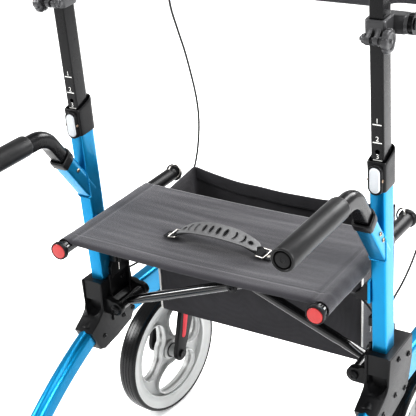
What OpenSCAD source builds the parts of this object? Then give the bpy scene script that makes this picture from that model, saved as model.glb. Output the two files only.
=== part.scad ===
// Rollator walker with a cross-brace folding frame, a sling seat and forearm rests.
// Each module is drawn for the right-hand side, in the seat frame: its origin is midway between
// the rear ends of the two seat tubes, +X points to the user's right and +Y forwards.

/* [Frame] */
// Height of the seat tubes' axes above the floor
seat_height = 518; // [500:1:540]
// Distance from the middle plane to the middle of each post
post_x = 267.6; // [262:0.1:280]
// Width of the post tube across the walker
post_w = 24; // [22:0.5:26]
// Depth of the post tube, fore and aft
post_d = 40; // [38:0.5:42]
// Wall of the post tube
post_wall = 1.7; // [1.4:0.1:1.8]
// Rearward lean of the posts, in degrees
post_lean = 3; // [0:0.5:4]
// Bend of the curved rear leg from end to end, in degrees
leg_bend = 28; // [15:1:30]
// Height of the front arm tube
arm_h = 56; // [48:1:58]

/* [Wheels] */
// Radius of the front wheels
front_r = 127; // [120:0.5:127]
// Radius of the rear wheels
rear_r = 101.5; // [95:0.5:102]
// Width of the front tyres
front_w = 38; // [34:1:40]
// Width of the rear tyres
rear_w = 32; // [28:1:32]
// Radius of every wheel axle
axle_r = 5; // [4:0.5:6]

/* [Seat] */
// Distance from the middle plane to each seat tube's axis
tube_x = 228; // [224:1:230]
// Radius of the seat tubes
tube_r = 11; // [10:0.5:11]
// Length of the seat tubes
tube_len = 334.6; // [320:0.1:340]
// Where the seat cloth starts and how long it is, fore and aft
cloth_y = 12; // [8:1:20]
cloth_len = 240; // [220:1:250]
// Half of the width of the bag
bag_x = 200; // [180:1:203]
// Depth of the bag below the seat tubes' axes
bag_drop = 223; // [180:1:225]

/* [Height adjustment] */
// Width and depth of the stem tube that slides in the post
stem_w = 20; // [19:0.5:20]
stem_d = 34; // [33:0.5:34]
// Distance between two height settings
hole_pitch = 27; // [25:1:27]
// Number of pin holes in the stem
hole_count = 5; // [3:1:6]

/* [Hand and arm rests] */
// Angle of the assist-handle sockets above the horizontal, in degrees
socket_rise = 53.6; // [50:0.1:56]
// Length and radius of the foam assist grips
assist_len = 165; // [120:1:170]
assist_r = 17; // [15:0.5:18]
// Length of the forearm troughs
trough_len = 230; // [200:1:240]
// Inner radius of the forearm troughs
trough_r = 50; // [46:1:52]
// Length of the upright hand grips
grip_len = 112; // [100:1:112]

/* [Hidden] */
$fn = 48;
left = -1;
right = 1;
gap = 0.3;     // clearance between pieces that slide or turn past each other
run = 0.05;    // radial clearance of a shaft in its bore

frame_blue = [0.05, 0.47, 0.80];
plastic_black = [0.10, 0.10, 0.11];
tube_black = [0.06, 0.06, 0.07];
cloth_grey = [0.24, 0.23, 0.26];
rim_silver = [0.80, 0.81, 0.80];
rubber = [0.07, 0.07, 0.08];

// Fore-and-aft reach of the wheels, which sets the middle of the walker
front_axle = [333, -seat_height + front_r];
rear_axle = [-190.5, -seat_height + rear_r];
mid_y = (front_axle[0] + front_r + rear_axle[0] - rear_r) / 2;

// The post starts at the top of the junction, at its flat rear face
post_foot = [post_x, 130.7, -129.6];
post_top = 318;
collar_foot = 279;
collar_top = 322.4;
button_s = 299;
pin_s = 312;
stem_foot = 150;
stem_top = 650.5;
stem_back = 3;
clamp_foot = 496;
clamp_h = 36;
clamp_bolt_s = 508;

// Assist handle: its tube leaves the socket, bends and runs level to the rear
assist_bend_r = 50;
assist_rise = 115;
bend_foot = assist_rise / sin(socket_rise) - assist_bend_r * tan(socket_rise / 2);
elbow_end = post_y(60) - assist_rise / tan(socket_rise) - assist_bend_r * tan(socket_rise / 2);

// Cross braces, hinged low on each side and joined at the middle
pivot = [228.2, -177.8];
cross = [0, pivot[1] / 2];
brace_r = 9;
barrel_r = 10;
rear_brace_y = 157;
front_brace_y = 179;
hinge_pin_r = 5;
barrel_ends = [136, 200];

// Curved rear leg: an arc from inside the junction to the rear axle
leg_foot = [97, -223];
leg_w = 26;
leg_d = 40;
leg_chord = norm(rear_axle - leg_foot);
leg_slope = atan2(leg_foot[1] - rear_axle[1], leg_foot[0] - rear_axle[0]);
leg_radius = leg_chord / (2 * sin(leg_bend / 2));
leg_start = 180 + leg_slope - leg_bend / 2;
leg_centre = leg_foot + leg_radius * [-sin(leg_start), cos(leg_start)];
leg_into = 2.2; // degrees of arc hidden in the junction

swivel_y = 378;
caster_turn = -6; // both casters stand a little turned, as after rolling round a bend
steerer_r = 8;
head_foot = -247;
head_top = -166;
crown_top = -247.5;
crown_foot = -262;
arm_mid = -210.5;

rear_wheel_x = post_x + 32.4;
shoe_pivot = [-100, -356];

pin_y = 141;    // backrest pivot, fore and aft
pin_z = 390;
disc_x = 300;
trough_z = 600;
trough_y = -56;
rail_z = 534;
rail_r = 11;
rail_end = 322;
grip_bend_r = 40;
grip_angle = 80;
lever_pivot = [28, 3]; // in the grip's own frame

// Brake cable routes, from the lever bracket to the junction, with x for the right-hand side
cable_r = 1.8;
cable_sides = 8;
cable_route = [
    [262, 378, 555], [261, 378, 538], [257, 378, 512], [251, 374, 478], [243, 367, 438],
    [234, 360, 396], [228, 357, 352], [226, 360, 306], [226, 378, 258], [226, 396, 214],
    [226, 411, 168], [226, 423, 124], [227, 430, 82], [229, 430, 42], [231, 422, 2],
    [232, 404, -34], [232, 378, -66], [232, 346, -90], [232, 310, -107], [232, 272, -118],
    [235, 242, -127], [242, 226, -134], [250, 217, -139], [256, 211, -142]
];

function turn(v, a) = [v[0] * cos(a) - v[1] * sin(a), v[0] * sin(a) + v[1] * cos(a)];
function post_y(z) = post_foot[1] - (z - post_foot[2]) * tan(post_lean);
function unit(v) = v / norm(v);
// Direction of a route at point i, and two axes square to it
function along(p, i) = unit(p[min(i + 1, len(p) - 1)] - p[max(i - 1, 0)]);
function across(t) = unit(cross([1, 0, 0.2], t));
function ring(p, i, r, sides) =
    let (t = along(p, i), a = across(t), b = cross(t, a))
    [for (k = [0:sides - 1]) p[i] + r * (cos(360 * k / sides) * a + sin(360 * k / sides) * b)];

// Puts a right-hand piece on either side, standing on the floor about the middle of the walker
module on_side(side) {
    translate([0, -mid_y, seat_height]) mirror([side < 0 ? 1 : 0, 0, 0]) children();
}

module in_middle() {
    translate([0, -mid_y, seat_height]) children();
}

// Turns a drawing in the X-Y plane to the Y-Z plane, with its thickness along +X
module side_plane() {
    rotate([90, 0, 90]) children();
}

// Turns a drawing in the X-Y plane to the X-Z plane, with its thickness along +Y
module front_plane() {
    mirror([0, 1, 0]) rotate([90, 0, 0]) children();
}

// Local frame of the post: z runs up it, y forwards from its rear face
module along_post() {
    translate(post_foot) rotate([post_lean, 0, 0]) children();
}

// Local frame of the assist socket: z runs up and rearwards out of the post
module along_socket() {
    translate([post_x, post_y(60), 60]) rotate([90 - socket_rise, 0, 0]) children();
}

// A rod along X, Y or Z
module rod_x(x0, x1, y, z, r) {
    translate([x0, y, z]) rotate([0, 90, 0]) cylinder(h = x1 - x0, r = r);
}

module rod_y(x, y0, y1, z, r) {
    translate([x, y0, z]) rotate([-90, 0, 0]) cylinder(h = y1 - y0, r = r);
}

// Bullet-shaped section: flat at y = 0, round in front
module bullet(w, d, r = 2) {
    translate([-w / 2 + r, 0]) square([w - 2 * r, d - w / 2]);
    translate([-w / 2, r]) square([w, d - w / 2 - r]);
    for (x = [-1, 1]) translate([x * (w / 2 - r), r]) circle(r);
    translate([0, d - w / 2]) circle(w / 2);
}

// The same section as one outline, for a tube that is bent
module bullet_outline(w, d, chamfer = 2) {
    polygon([
        [-w / 2, chamfer], [-w / 2 + chamfer, 0], [w / 2 - chamfer, 0], [w / 2, chamfer],
        for (a = [0:15:180]) [w / 2 * cos(a), d - w / 2 + w / 2 * sin(a)]
    ]);
}

// Slot with round ends, long along y
module stadium(w, h) {
    square([w, h - w], center = true);
    for (y = [-1, 1]) translate([0, y * (h - w) / 2]) circle(w / 2);
}

module rounded_box_2d(w, h, r) {
    square([w - 2 * r, h], center = true);
    square([w, h - 2 * r], center = true);
    for (x = [-1, 1], y = [-1, 1]) translate([x * (w / 2 - r), y * (h / 2 - r)]) circle(r);
}

// Part of the rear leg's arc, from angle a0 to a1 measured from its top end
module leg_arc(a0, a1, w, d) {
    translate([post_x, leg_centre[0], leg_centre[1]]) side_plane()
        rotate([0, 0, leg_start - 90 + a0]) rotate_extrude(angle = a1 - a0, $fn = 240)
            translate([leg_radius, 0]) rotate(90) stadium(w, d);
}

module post_solid(s0, s1, grow = 0) {
    along_post() translate([0, -grow, s0]) linear_extrude(s1 - s0)
        bullet(post_w + 2 * grow, post_d + 2 * grow, 3 + grow);
}

module stem_solid(s0, s1, grow = 0) {
    along_post() translate([0, stem_back - grow, s0]) linear_extrude(s1 - s0)
        bullet(stem_w + 2 * grow, stem_d + 2 * grow, 2 + grow);
}

// ---- Fixed frame ----

// Post with the welded assist socket, and the cradle that the seat tube rests in
module post(side) {
    color(frame_blue) on_side(side) difference() {
        union() {
            post_solid(-70, post_top);
            along_socket() translate([0, -14, 6]) linear_extrude(62) bullet(26, 30, 3);
            translate([236, 121, -42]) cube([post_x - post_w / 2 - 235, 16, 46]);
        }
        along_post() translate([0, post_wall, -71]) linear_extrude(post_top + 72)
            bullet(post_w - 2 * post_wall, post_d - 2 * post_wall, 3 - post_wall);
        along_socket() translate([0, -11.3, 0]) linear_extrude(70) bullet(22.6, 26.6, 2);
        along_post() translate([0, -1, pin_s]) rotate([-90, 0, 0]) cylinder(h = 5, r = 4);
        rod_y(tube_x, 120, 138, 0, tube_r + 3.2);
        translate([tube_x - 20, 120, 0]) cube([20, 18, 5]);
    }
}

module rear_leg(side) {
    color(frame_blue) on_side(side) difference() {
        union() {
            leg_arc(-leg_into, leg_bend - 0.8, leg_w, leg_d);
            rod_x(post_x - leg_w / 2, post_x + leg_w / 2, rear_axle[0], rear_axle[1], 21);
        }
        leg_arc(-leg_into - 1, leg_bend - 5, leg_w - 4, leg_d - 4);
        rod_x(post_x - leg_w, post_x + leg_w, rear_axle[0], rear_axle[1], axle_r);
        rod_x(post_x, post_x + leg_w, shoe_pivot[0], shoe_pivot[1], 4);
    }
}

// Front arm with the welded steering head that holds the fork's steerer
module front_arm(side) {
    color(frame_blue) on_side(side) difference() {
        union() {
            translate([post_x, 190, arm_mid]) rotate([-90, 0, 0]) linear_extrude(swivel_y - 190)
                rounded_box_2d(leg_w, arm_h, 8);
            translate([post_x, swivel_y, head_foot]) cylinder(h = head_top - head_foot, r = 23);
        }
        translate([post_x, 189, arm_mid]) rotate([-90, 0, 0]) linear_extrude(swivel_y - 189)
            rounded_box_2d(leg_w - 4, arm_h - 4, 6);
        translate([post_x, swivel_y, head_foot - 1]) cylinder(h = 76, r = steerer_r + run);
    }
}

// Moulded junction that joins post, leg and arm and carries the brace hinge
module junction(side) {
    color(plastic_black) on_side(side) {
        difference() {
            union() {
                translate([249.5, 0, 0]) side_plane() linear_extrude(43) polygon([
                    [116, -129.6], [205, -129.6], [211, -176], [204, -240], [112, -257],
                    [97.3, -250.9], [76, -207], [90, -196], [113, -180]
                ]);
                for (y = [[124, 11.6], [200.4, 11.6]]) hinge_lug(y[0], y[1]);
            }
            post_solid(-71, 60);
            leg_arc(-leg_into - 3, 4, leg_w + gap, leg_d + gap);
            translate([post_x, 189, arm_mid]) rotate([-90, 0, 0]) linear_extrude(40)
                rounded_box_2d(leg_w, arm_h, 8);
            translate([post_x, 106, -192]) rotate([-20, 0, 0]) rotate([-90, 0, 0])
                cylinder(h = 18, r1 = 12, r2 = 8);
            for (y = [123, 199]) rod_y(pivot[0], y, y + 15, pivot[1], hinge_pin_r);
        }
        hinge_pin();
    }
}

module hinge_lug(y, t) {
    difference() {
        union() {
            rod_y(pivot[0], y, y + t, pivot[1], 13);
            translate([pivot[0], y, pivot[1] - 13]) cube([22, t, 32]);
        }
        translate([pivot[0] - 14, y - 1, pivot[1] + 13]) cube([14, t + 2, 20]);
    }
}

module hinge_pin() {
    rod_y(pivot[0], 124, 212, pivot[1], hinge_pin_r);
    rod_y(pivot[0], 119, 124, pivot[1], 8);
    rod_y(pivot[0], 212, 217, pivot[1], 8);
}

// Collar on top of the post, with the boss and the cross pin that the button rocks on
module collar(side) {
    color(plastic_black) on_side(side) difference() {
        union() {
            difference() {
                union() {
                    along_post() translate([0, -3, collar_foot]) linear_extrude(68)
                        bullet(28.6, 46.5, 4);
                    along_post() translate([0, 0, button_s]) rotate([90, 0, 0])
                        linear_extrude(8) stadium(21, 47);
                }
                along_post() translate([0, -0.6, button_s]) rotate([90, 0, 0])
                    linear_extrude(9) stadium(16.8, 40.8);
                along_post() translate([-20, -12, collar_top]) rotate([14, 0, 0])
                    cube([40, 70, 40]);
            }
            along_post() rod_x(-10, 10, -6.4, button_s, 1.5);
        }
        post_solid(collar_foot - 1, post_top);
        stem_solid(post_top - 1, post_top + 40, gap);
        along_post() translate([0, -5, pin_s]) rotate([-90, 0, 0]) cylinder(h = 8, r = 4);
    }
}

// Rocking release button, with the pin that locks the stem
module button(side) {
    color("white") on_side(side) along_post() difference() {
        union() {
            translate([0, -3.6, button_s]) rotate([90, 0, 0]) linear_extrude(6.4)
                stadium(16.2, 40);
            translate([0, -4, pin_s]) rotate([-90, 0, 0]) cylinder(h = 6.6, r = 3);
        }
        rod_x(-10, 10, -6.4, button_s, 1.5 + run);
    }
}

// Assist handle tube, with the ferrule that clamps it in its socket
module assist_tube(side) {
    color(tube_black) on_side(side) {
        along_socket() {
            translate([0, -11, 20]) linear_extrude(bend_foot - 20) assist_section();
            difference() {
                translate([0, -16, 68]) linear_extrude(17) bullet(30, 34, 4);
                translate([0, -11, 60]) linear_extrude(30) assist_section();
            }
            translate([0, -assist_bend_r, bend_foot]) rotate([90, 0, 90])
                rotate_extrude(angle = socket_rise) translate([assist_bend_r - 11, 0])
                    rotate(-90) assist_section();
        }
        translate([post_x, elbow_end, 60 + assist_rise]) rotate([90, 0, 0])
            translate([0, -11, 0]) linear_extrude(elbow_end + assist_len - 1) assist_section();
    }
}

module assist_section() {
    bullet_outline(22, 26);
}

module assist_grip(side) {
    color(rubber) on_side(side) difference() {
        rod_y(post_x, -7 - assist_len, -7, 62 + assist_rise, assist_r);
        translate([post_x, 0, 60 + assist_rise]) rotate([90, 0, 0]) translate([0, -11, 5])
            linear_extrude(assist_len - 6) assist_section();
        rod_y(post_x, -8 - assist_len, -4 - assist_len, 62 + assist_rise, 9);
    }
}

// ---- Height-adjusted upper part ----

module stem(side) {
    color(tube_black) on_side(side) difference() {
        stem_solid(stem_foot, stem_top);
        along_post() translate([0, stem_back + 1.8, stem_foot - 1])
            linear_extrude(stem_top - stem_foot - 1) bullet(stem_w - 3.6, stem_d - 3.6, 1);
        for (k = [0:hole_count - 1])
            along_post() translate([0, 0, pin_s + hole_pitch * (1 - k)]) rotate([-90, 0, 0])
                cylinder(h = 6, r = 3.5);
    }
}

// Split clamp on the stem, with its bolt and the toothed plate that the backrest turns on
module clamp(side) {
    color(plastic_black) on_side(side) difference() {
        union() {
            along_post() translate([0, -2, clamp_foot]) linear_extrude(clamp_h)
                bullet(31, 44, 5);
            along_post() translate([-10, -15, clamp_foot + 4]) cube([20, 14, clamp_h - 12]);
            along_post() rod_x(-18, 28, -8, clamp_bolt_s, 3);
            along_post() rod_x(-18, -13, -8, clamp_bolt_s, 6.5);
            translate([post_x + 8, pin_y - 6, pin_z - 12]) cube([disc_x - post_x - 8, 12, 24]);
            rod_x(disc_x - 3, disc_x + 3, pin_y, pin_z, 15);
            rod_x(disc_x, disc_x + 13, pin_y, pin_z, 4);
            rod_x(disc_x + 10.2, disc_x + 13, pin_y, pin_z, 8);
        }
        stem_solid(clamp_foot - 1, clamp_foot + clamp_h + 1);
        along_post() translate([-0.8, -16, clamp_foot - 1]) cube([1.6, 12, 9]);
    }
}

module clamp_knob(side) {
    color(plastic_black) on_side(side) along_post() difference() {
        union() {
            rod_x(16.2, 27, -8, clamp_bolt_s, 14);
            for (a = [0:60:300]) let (p = turn([15, 0], a))
                rod_x(16.2, 27, p[0] - 8, p[1] + clamp_bolt_s, 4);
            rod_x(10.3, 16.4, -8, clamp_bolt_s, 5.5);
        }
        rod_x(10, 30, -8, clamp_bolt_s, 3 + run);
    }
}

// Swinging arm that carries one end of the backrest strap
module backrest_arm(side) {
    color(plastic_black) on_side(side) difference() {
        union() {
            rod_x(disc_x + 3.3, disc_x + 9.8, pin_y, pin_z, 15);
            translate([disc_x + 3.3, pin_y, pin_z - 8]) cube([6.5, 148, 20]);
            translate([262, 286, pin_z - 14]) cube([disc_x - 252.2, 6, 38]);
        }
        rod_x(disc_x, disc_x + 12, pin_y, pin_z, 4 + run);
    }
}

// Forearm trough with the block that joins it to the stem and the handle rail
module arm_trough(side) {
    color(plastic_black) on_side(side) difference() {
        union() {
            rod_y(post_x, trough_y, trough_y + trough_len, trough_z, trough_r + 4);
            translate([post_x - 17, 86, 492]) cube([34, 56, 62]);
        }
        rod_y(post_x, trough_y - 1, trough_y + trough_len + 1, trough_z, trough_r);
        translate([post_x - 70, trough_y - 1, trough_z - 22]) cube([140, trough_len + 2, 100]);
        stem_solid(600, stem_top);
        rod_y(post_x, 60, 150, rail_z, rail_r);
    }
}

module arm_pad(side) {
    color(cloth_grey) on_side(side) difference() {
        rod_y(post_x, trough_y + 4, trough_y + trough_len - 4, trough_z, trough_r - gap);
        rod_y(post_x, trough_y, trough_y + trough_len, trough_z + 2, trough_r - 10);
        translate([post_x - 70, trough_y, trough_z - 18]) cube([140, trough_len, 100]);
    }
}

// Rail from the trough to the hand grip, bent upwards, with the lever's bracket on it
module handle_tube(side) {
    color(tube_black) on_side(side) {
        rod_y(post_x, 66, rail_end, rail_z, rail_r);
        translate([post_x, rail_end, rail_z + grip_bend_r]) side_plane() rotate([0, 0, -90])
            rotate_extrude(angle = grip_angle) translate([grip_bend_r, 0]) circle(rail_r);
        at_grip() {
            cylinder(h = grip_len + 8, r = rail_r);
            translate([0, 0, -4]) cylinder(h = 13.7, r = 15);
            for (x = [-9.5, 5.3]) translate([x, 8, -4]) cube([4.2, 26, 13.7]);
            rod_x(-11, 11, lever_pivot[0], lever_pivot[1], 2.5);
        }
    }
}

// Local frame of the hand grip: z runs up it, y points forwards
module at_grip() {
    translate([post_x, rail_end, rail_z + grip_bend_r]) rotate([grip_angle - 90, 0, 0])
        translate([0, grip_bend_r, 0]) children();
}

module hand_grip(side) {
    color(rubber) on_side(side) at_grip() difference() {
        union() {
            translate([0, 0, 10]) cylinder(h = grip_len, r = 16);
            translate([0, 0, 10]) cylinder(h = 6, r = 19);
        }
        translate([0, 0, 9]) cylinder(h = grip_len - 1, r = rail_r);
    }
}

// Brake lever, which is squeezed towards the hand grip
module brake_lever(side) {
    color(plastic_black) on_side(side) at_grip() difference() {
        union() {
            rod_x(-5, 5, lever_pivot[0], lever_pivot[1], 7);
            translate([-5, 0, 0]) side_plane() linear_extrude(10) polygon([
                [24, 7], [33, 1], [46, 22], [50, 40], [50, 66], [46, 100],
                [41, 100], [44, 66], [44, 42], [40, 28]
            ]);
        }
        rod_x(-6, 6, lever_pivot[0], lever_pivot[1], 2.5 + run);
    }
}

// ---- Wheels and brakes ----

// Turns a caster's pieces about its swivel, the same way on both sides
module in_caster(side) {
    on_side(side) translate([post_x, swivel_y, 0]) rotate([0, 0, side * caster_turn])
        translate([-post_x, -swivel_y, 0]) children();
}

module fork(side) {
    color(plastic_black) in_caster(side) difference() {
        union() {
            translate([post_x, swivel_y, crown_foot]) cylinder(h = 83, r = steerer_r);
            translate([post_x - 37, 346, crown_foot]) cube([74, 50, crown_top - crown_foot]);
            for (x = [-37, 27]) translate([post_x + x, 0, 0]) fork_leg();
        }
        rod_x(post_x - 40, post_x + 40, front_axle[0], front_axle[1], axle_r);
    }
}

module fork_leg() {
    side_plane() linear_extrude(10) union() {
        polygon([
            [350, crown_top], [392, crown_top], [388, -285],
            [front_axle[0] + 13, front_axle[1]], [front_axle[0] - 13, front_axle[1]], [348, -285]
        ]);
        translate(front_axle) circle(13);
    }
}

module front_axle_bolt(side) {
    color("silver") in_caster(side) {
        rod_x(post_x - 37, post_x + 37, front_axle[0], front_axle[1], axle_r);
        for (x = [-41, 37]) rod_x(post_x + x, post_x + x + 4, front_axle[0], front_axle[1], 8);
    }
}

module wheel_rim(x, at, r, width, hub_w, spokes) {
    difference() {
        union() {
            difference() {
                rod_x(x - width / 2 + 2, x + width / 2 - 2, at[0], at[1], r);
                rod_x(x - width / 2, x + width / 2, at[0], at[1], r - 17);
            }
            rod_x(x - hub_w / 2, x + hub_w / 2, at[0], at[1], 20);
            for (a = [10:360 / spokes:359]) translate([x - 11, at[0], at[1]])
                rotate([a, 0, 0]) translate([0, -17, 10]) cube([22, 34, r - 20]);
        }
        rod_x(x - hub_w, x + hub_w, at[0], at[1], axle_r + run);
    }
}

module wheel_tyre(x, at, r, width, depth) {
    translate([x, at[0], at[1]]) rotate([0, 90, 0]) rotate_extrude($fn = 96)
        difference() {
            translate([r - width / 2, 0]) circle(width / 2);
            translate([r - width, -width]) square([width - depth, 2 * width]);
        }
}

module front_rim(side) {
    color(rim_silver) in_caster(side)
        wheel_rim(post_x, front_axle, front_r - 15, front_w - 4, 52, 3);
}

module front_tyre(side) {
    color(rubber) in_caster(side) wheel_tyre(post_x, front_axle, front_r, front_w, 15);
}

module rear_rim(side) {
    color(rim_silver) on_side(side)
        wheel_rim(rear_wheel_x, rear_axle, rear_r - 14, rear_w - 3, 37, 3);
}

module rear_tyre(side) {
    color(rubber) on_side(side) wheel_tyre(rear_wheel_x, rear_axle, rear_r, rear_w, 14);
}

// Carrier in the end of the rear leg, with the wheel spindle and the brake's pivot stub
module brake_carrier(side) {
    x0 = post_x + leg_w / 2;
    color("silver") on_side(side) {
        rod_x(post_x - 13, rear_wheel_x + 22, rear_axle[0], rear_axle[1], axle_r);
        rod_x(post_x - 18, post_x - 13, rear_axle[0], rear_axle[1], 9);
        rod_x(rear_wheel_x + 19, rear_wheel_x + 23, rear_axle[0], rear_axle[1], 9);
        rod_x(post_x + 9, x0 + 36, shoe_pivot[0], shoe_pivot[1], 4);
        rod_x(x0 + 34, x0 + 37, shoe_pivot[0], shoe_pivot[1], 7);
    }
}

// Shoe that presses on the rear tyre
module brake_shoe(side) {
    x0 = post_x + leg_w / 2 + gap;
    away = unit(shoe_pivot - rear_axle);
    pad_mid = rear_axle + (rear_r + 1.8 + 5) * unit(turn(away, 16));
    color(plastic_black) on_side(side) difference() {
        union() {
            rod_x(x0, x0 + 33, shoe_pivot[0], shoe_pivot[1], 10);
            translate([x0 + 2, pad_mid[0], pad_mid[1]]) rotate([-38, 0, 0])
                translate([0, -10, -4]) cube([30, 38, 12]);
        }
        rod_x(x0 - 2, x0 + 40, rear_axle[0], rear_axle[1], rear_r + 1.8);
        rod_x(x0 - 2, x0 + 40, shoe_pivot[0], shoe_pivot[1], 4 + run);
    }
}

// ---- Cables ----

module brake_cable(side) {
    p = cable_route;
    n = len(p);
    c = cable_sides;
    color(rubber) on_side(side) polyhedron(
        points = [for (i = [0:n - 1]) each ring(p, i, cable_r, c)],
        faces = [
            [for (k = [0:c - 1]) k],
            [for (k = [c - 1:-1:0]) (n - 1) * c + k],
            for (i = [0:n - 2], k = [0:c - 1])
                [i * c + k, (i + 1) * c + k, (i + 1) * c + (k + 1) % c, i * c + (k + 1) % c]
        ]
    );
}

// ---- Folding cross and seat ----

// Brace tube from the hinge on one side (foot < 0 is the left) up to the seat tube on the other
module brace(foot, y, bolt) {
    length = norm([tube_x + pivot[0], pivot[1]]);
    rise = atan2(-pivot[1], tube_x + pivot[0]);
    in_middle() mirror([foot < 0 ? 0 : 1, 0, 0]) difference() {
        union() {
            translate([-pivot[0], y, pivot[1]]) rotate([0, 90 - rise, 0])
                cylinder(h = length, r = brace_r);
            rod_y(-pivot[0], barrel_ends[0], barrel_ends[1], pivot[1], barrel_r);
            rod_y(tube_x, 0, tube_len, 0, tube_r);
        }
        rod_y(-pivot[0], barrel_ends[0] - 1, barrel_ends[1] + 1, pivot[1], hinge_pin_r + run);
        rod_y(tube_x, -1, 148 - 10, 0, tube_r - 1.6);
        rod_y(tube_x, 196, tube_len + 1, 0, tube_r - 1.6);
        rod_y(0, y - 20, y + 20, cross[1], bolt);
    }
}

// Rear brace, with the bolt through the middle of the cross
module rear_brace() {
    color(tube_black) {
        brace(left, rear_brace_y, 4);
        in_middle() {
            rod_y(0, 145, 192, cross[1], 4);
            rod_y(0, 143, 147.5, cross[1], 9);
            rod_y(0, 189, 193, cross[1], 8);
        }
    }
}

module front_brace() {
    color(tube_black) brace(right, front_brace_y, 4 + run);
}

// Plug with a round reflector at the rear end of a seat tube, and a domed plug at its front
module tube_caps(side) {
    color("red") on_side(side) {
        rod_y(tube_x, 0, 16, 0, tube_r - 1.6);
        rod_y(tube_x, -8, 0, 0, 14);
        rod_y(tube_x, tube_len - 16, tube_len, 0, tube_r - 1.6);
        rod_y(tube_x, tube_len, tube_len + 5, 0, 14);
        rod_y(tube_x, tube_len + 5, tube_len + 9, 0, 10);
    }
}

// Seat cloth between the tubes, with a sleeve over each tube
module seat_sling() {
    inner = tube_r + gap;
    outer = inner + 2.2;
    color(cloth_grey) in_middle() translate([0, cloth_y, 0]) front_plane()
        linear_extrude(cloth_len) difference() {
            union() {
                translate([-tube_x, inner]) square([2 * tube_x, 2.2]);
                for (x = [-tube_x, tube_x]) translate([x, 0]) circle(outer);
            }
            for (x = [-1, 1]) {
                translate([x * tube_x, 0]) circle(inner);
                translate([x * tube_x, 0]) rotate(x > 0 ? 0 : 180) mirror([0, x > 0 ? 0 : 1, 0])
                    polygon([[0, 0], [-14, 9], [-30, 9], [-30, -30], [0, -30]]);
            }
        }
}

// Carrying strap over the middle of the seat, with the wire ring at each end
module seat_handle() {
    ends = [-70, 86];
    lift = 25;
    half = (ends[1] - ends[0]) / 2;
    arc_r = (half * half + lift * lift) / (2 * lift);
    sweep = 2 * asin(half / arc_r);
    base = tube_r + gap + 2.3;
    color(plastic_black) in_middle() {
        translate([(ends[0] + ends[1]) / 2, 86, base + 4 + lift - arc_r]) front_plane()
            rotate([0, 0, 90 - sweep / 2]) rotate_extrude(angle = sweep, $fn = 180)
                translate([arc_r - 4, 0]) square([4, 28]);
        for (x = ends) translate([x - 6, 85, base]) cube([12, 30, 3]);
    }
}

// Open-topped bag under the seat
module bag() {
    wall = 2.5;
    back = 222;
    front = 362;
    color([0.12, 0.12, 0.13]) in_middle() difference() {
        translate([-bag_x, back, -bag_drop]) cube([2 * bag_x, front - back, bag_drop + 9]);
        translate([-bag_x + wall, back + wall, -bag_drop + wall])
            cube([2 * bag_x - 2 * wall, front - back - 2 * wall, bag_drop + 20]);
        translate([-bag_x - 1, back - 1, -4]) cube([2 * bag_x + 2, cloth_y + cloth_len - back + 7, 20]);
    }
}

module backrest_strap() {
    color(cloth_grey) in_middle() translate([-296, 292.3, pin_z - 30]) cube([592, 12, 70]);
}

post(left);  // left_post
rear_leg(left);  // left_rear_leg
front_arm(left);  // left_front_arm
junction(left);  // left_junction
collar(left);  // left_collar
button(left);  // left_button
assist_tube(left);  // left_assist_tube
assist_grip(left);  // left_assist_grip
stem(left);  // left_stem
clamp(left);  // left_clamp
clamp_knob(left);  // left_clamp_knob
backrest_arm(left);  // left_backrest_arm
arm_trough(left);  // left_arm_trough
arm_pad(left);  // left_arm_pad
handle_tube(left);  // left_handle_tube
hand_grip(left);  // left_hand_grip
brake_lever(left);  // left_brake_lever
fork(left);  // left_fork
front_axle_bolt(left);  // left_front_axle
front_rim(left);  // left_front_rim
front_tyre(left);  // left_front_tyre
brake_carrier(left);  // left_brake_carrier
brake_shoe(left);  // left_brake_shoe
rear_rim(left);  // left_rear_rim
rear_tyre(left);  // left_rear_tyre
brake_cable(left);  // left_brake_cable
post(right);  // right_post
rear_leg(right);  // right_rear_leg
front_arm(right);  // right_front_arm
junction(right);  // right_junction
collar(right);  // right_collar
button(right);  // right_button
assist_tube(right);  // right_assist_tube
assist_grip(right);  // right_assist_grip
stem(right);  // right_stem
clamp(right);  // right_clamp
clamp_knob(right);  // right_clamp_knob
backrest_arm(right);  // right_backrest_arm
arm_trough(right);  // right_arm_trough
arm_pad(right);  // right_arm_pad
handle_tube(right);  // right_handle_tube
hand_grip(right);  // right_hand_grip
brake_lever(right);  // right_brake_lever
fork(right);  // right_fork
front_axle_bolt(right);  // right_front_axle
front_rim(right);  // right_front_rim
front_tyre(right);  // right_front_tyre
brake_carrier(right);  // right_brake_carrier
brake_shoe(right);  // right_brake_shoe
rear_rim(right);  // right_rear_rim
rear_tyre(right);  // right_rear_tyre
brake_cable(right);  // right_brake_cable
rear_brace();
front_brace();
tube_caps(left);  // left_tube_caps
tube_caps(right);  // right_tube_caps
seat_sling();
seat_handle();
bag();
backrest_strap();
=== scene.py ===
# Rollator walker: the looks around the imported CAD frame.
# Points are in millimetres in the seat frame of the CAD source: origin midway between the rear
# ends of the seat tubes, +X to the user's right, +Y forwards, +Z up. row() turns them into the
# row frame in metres. Side pieces are drawn for the right-hand side and mirrored for the left.
import math

import bmesh
import bpy
from mathutils import Matrix, Vector, noise


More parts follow.
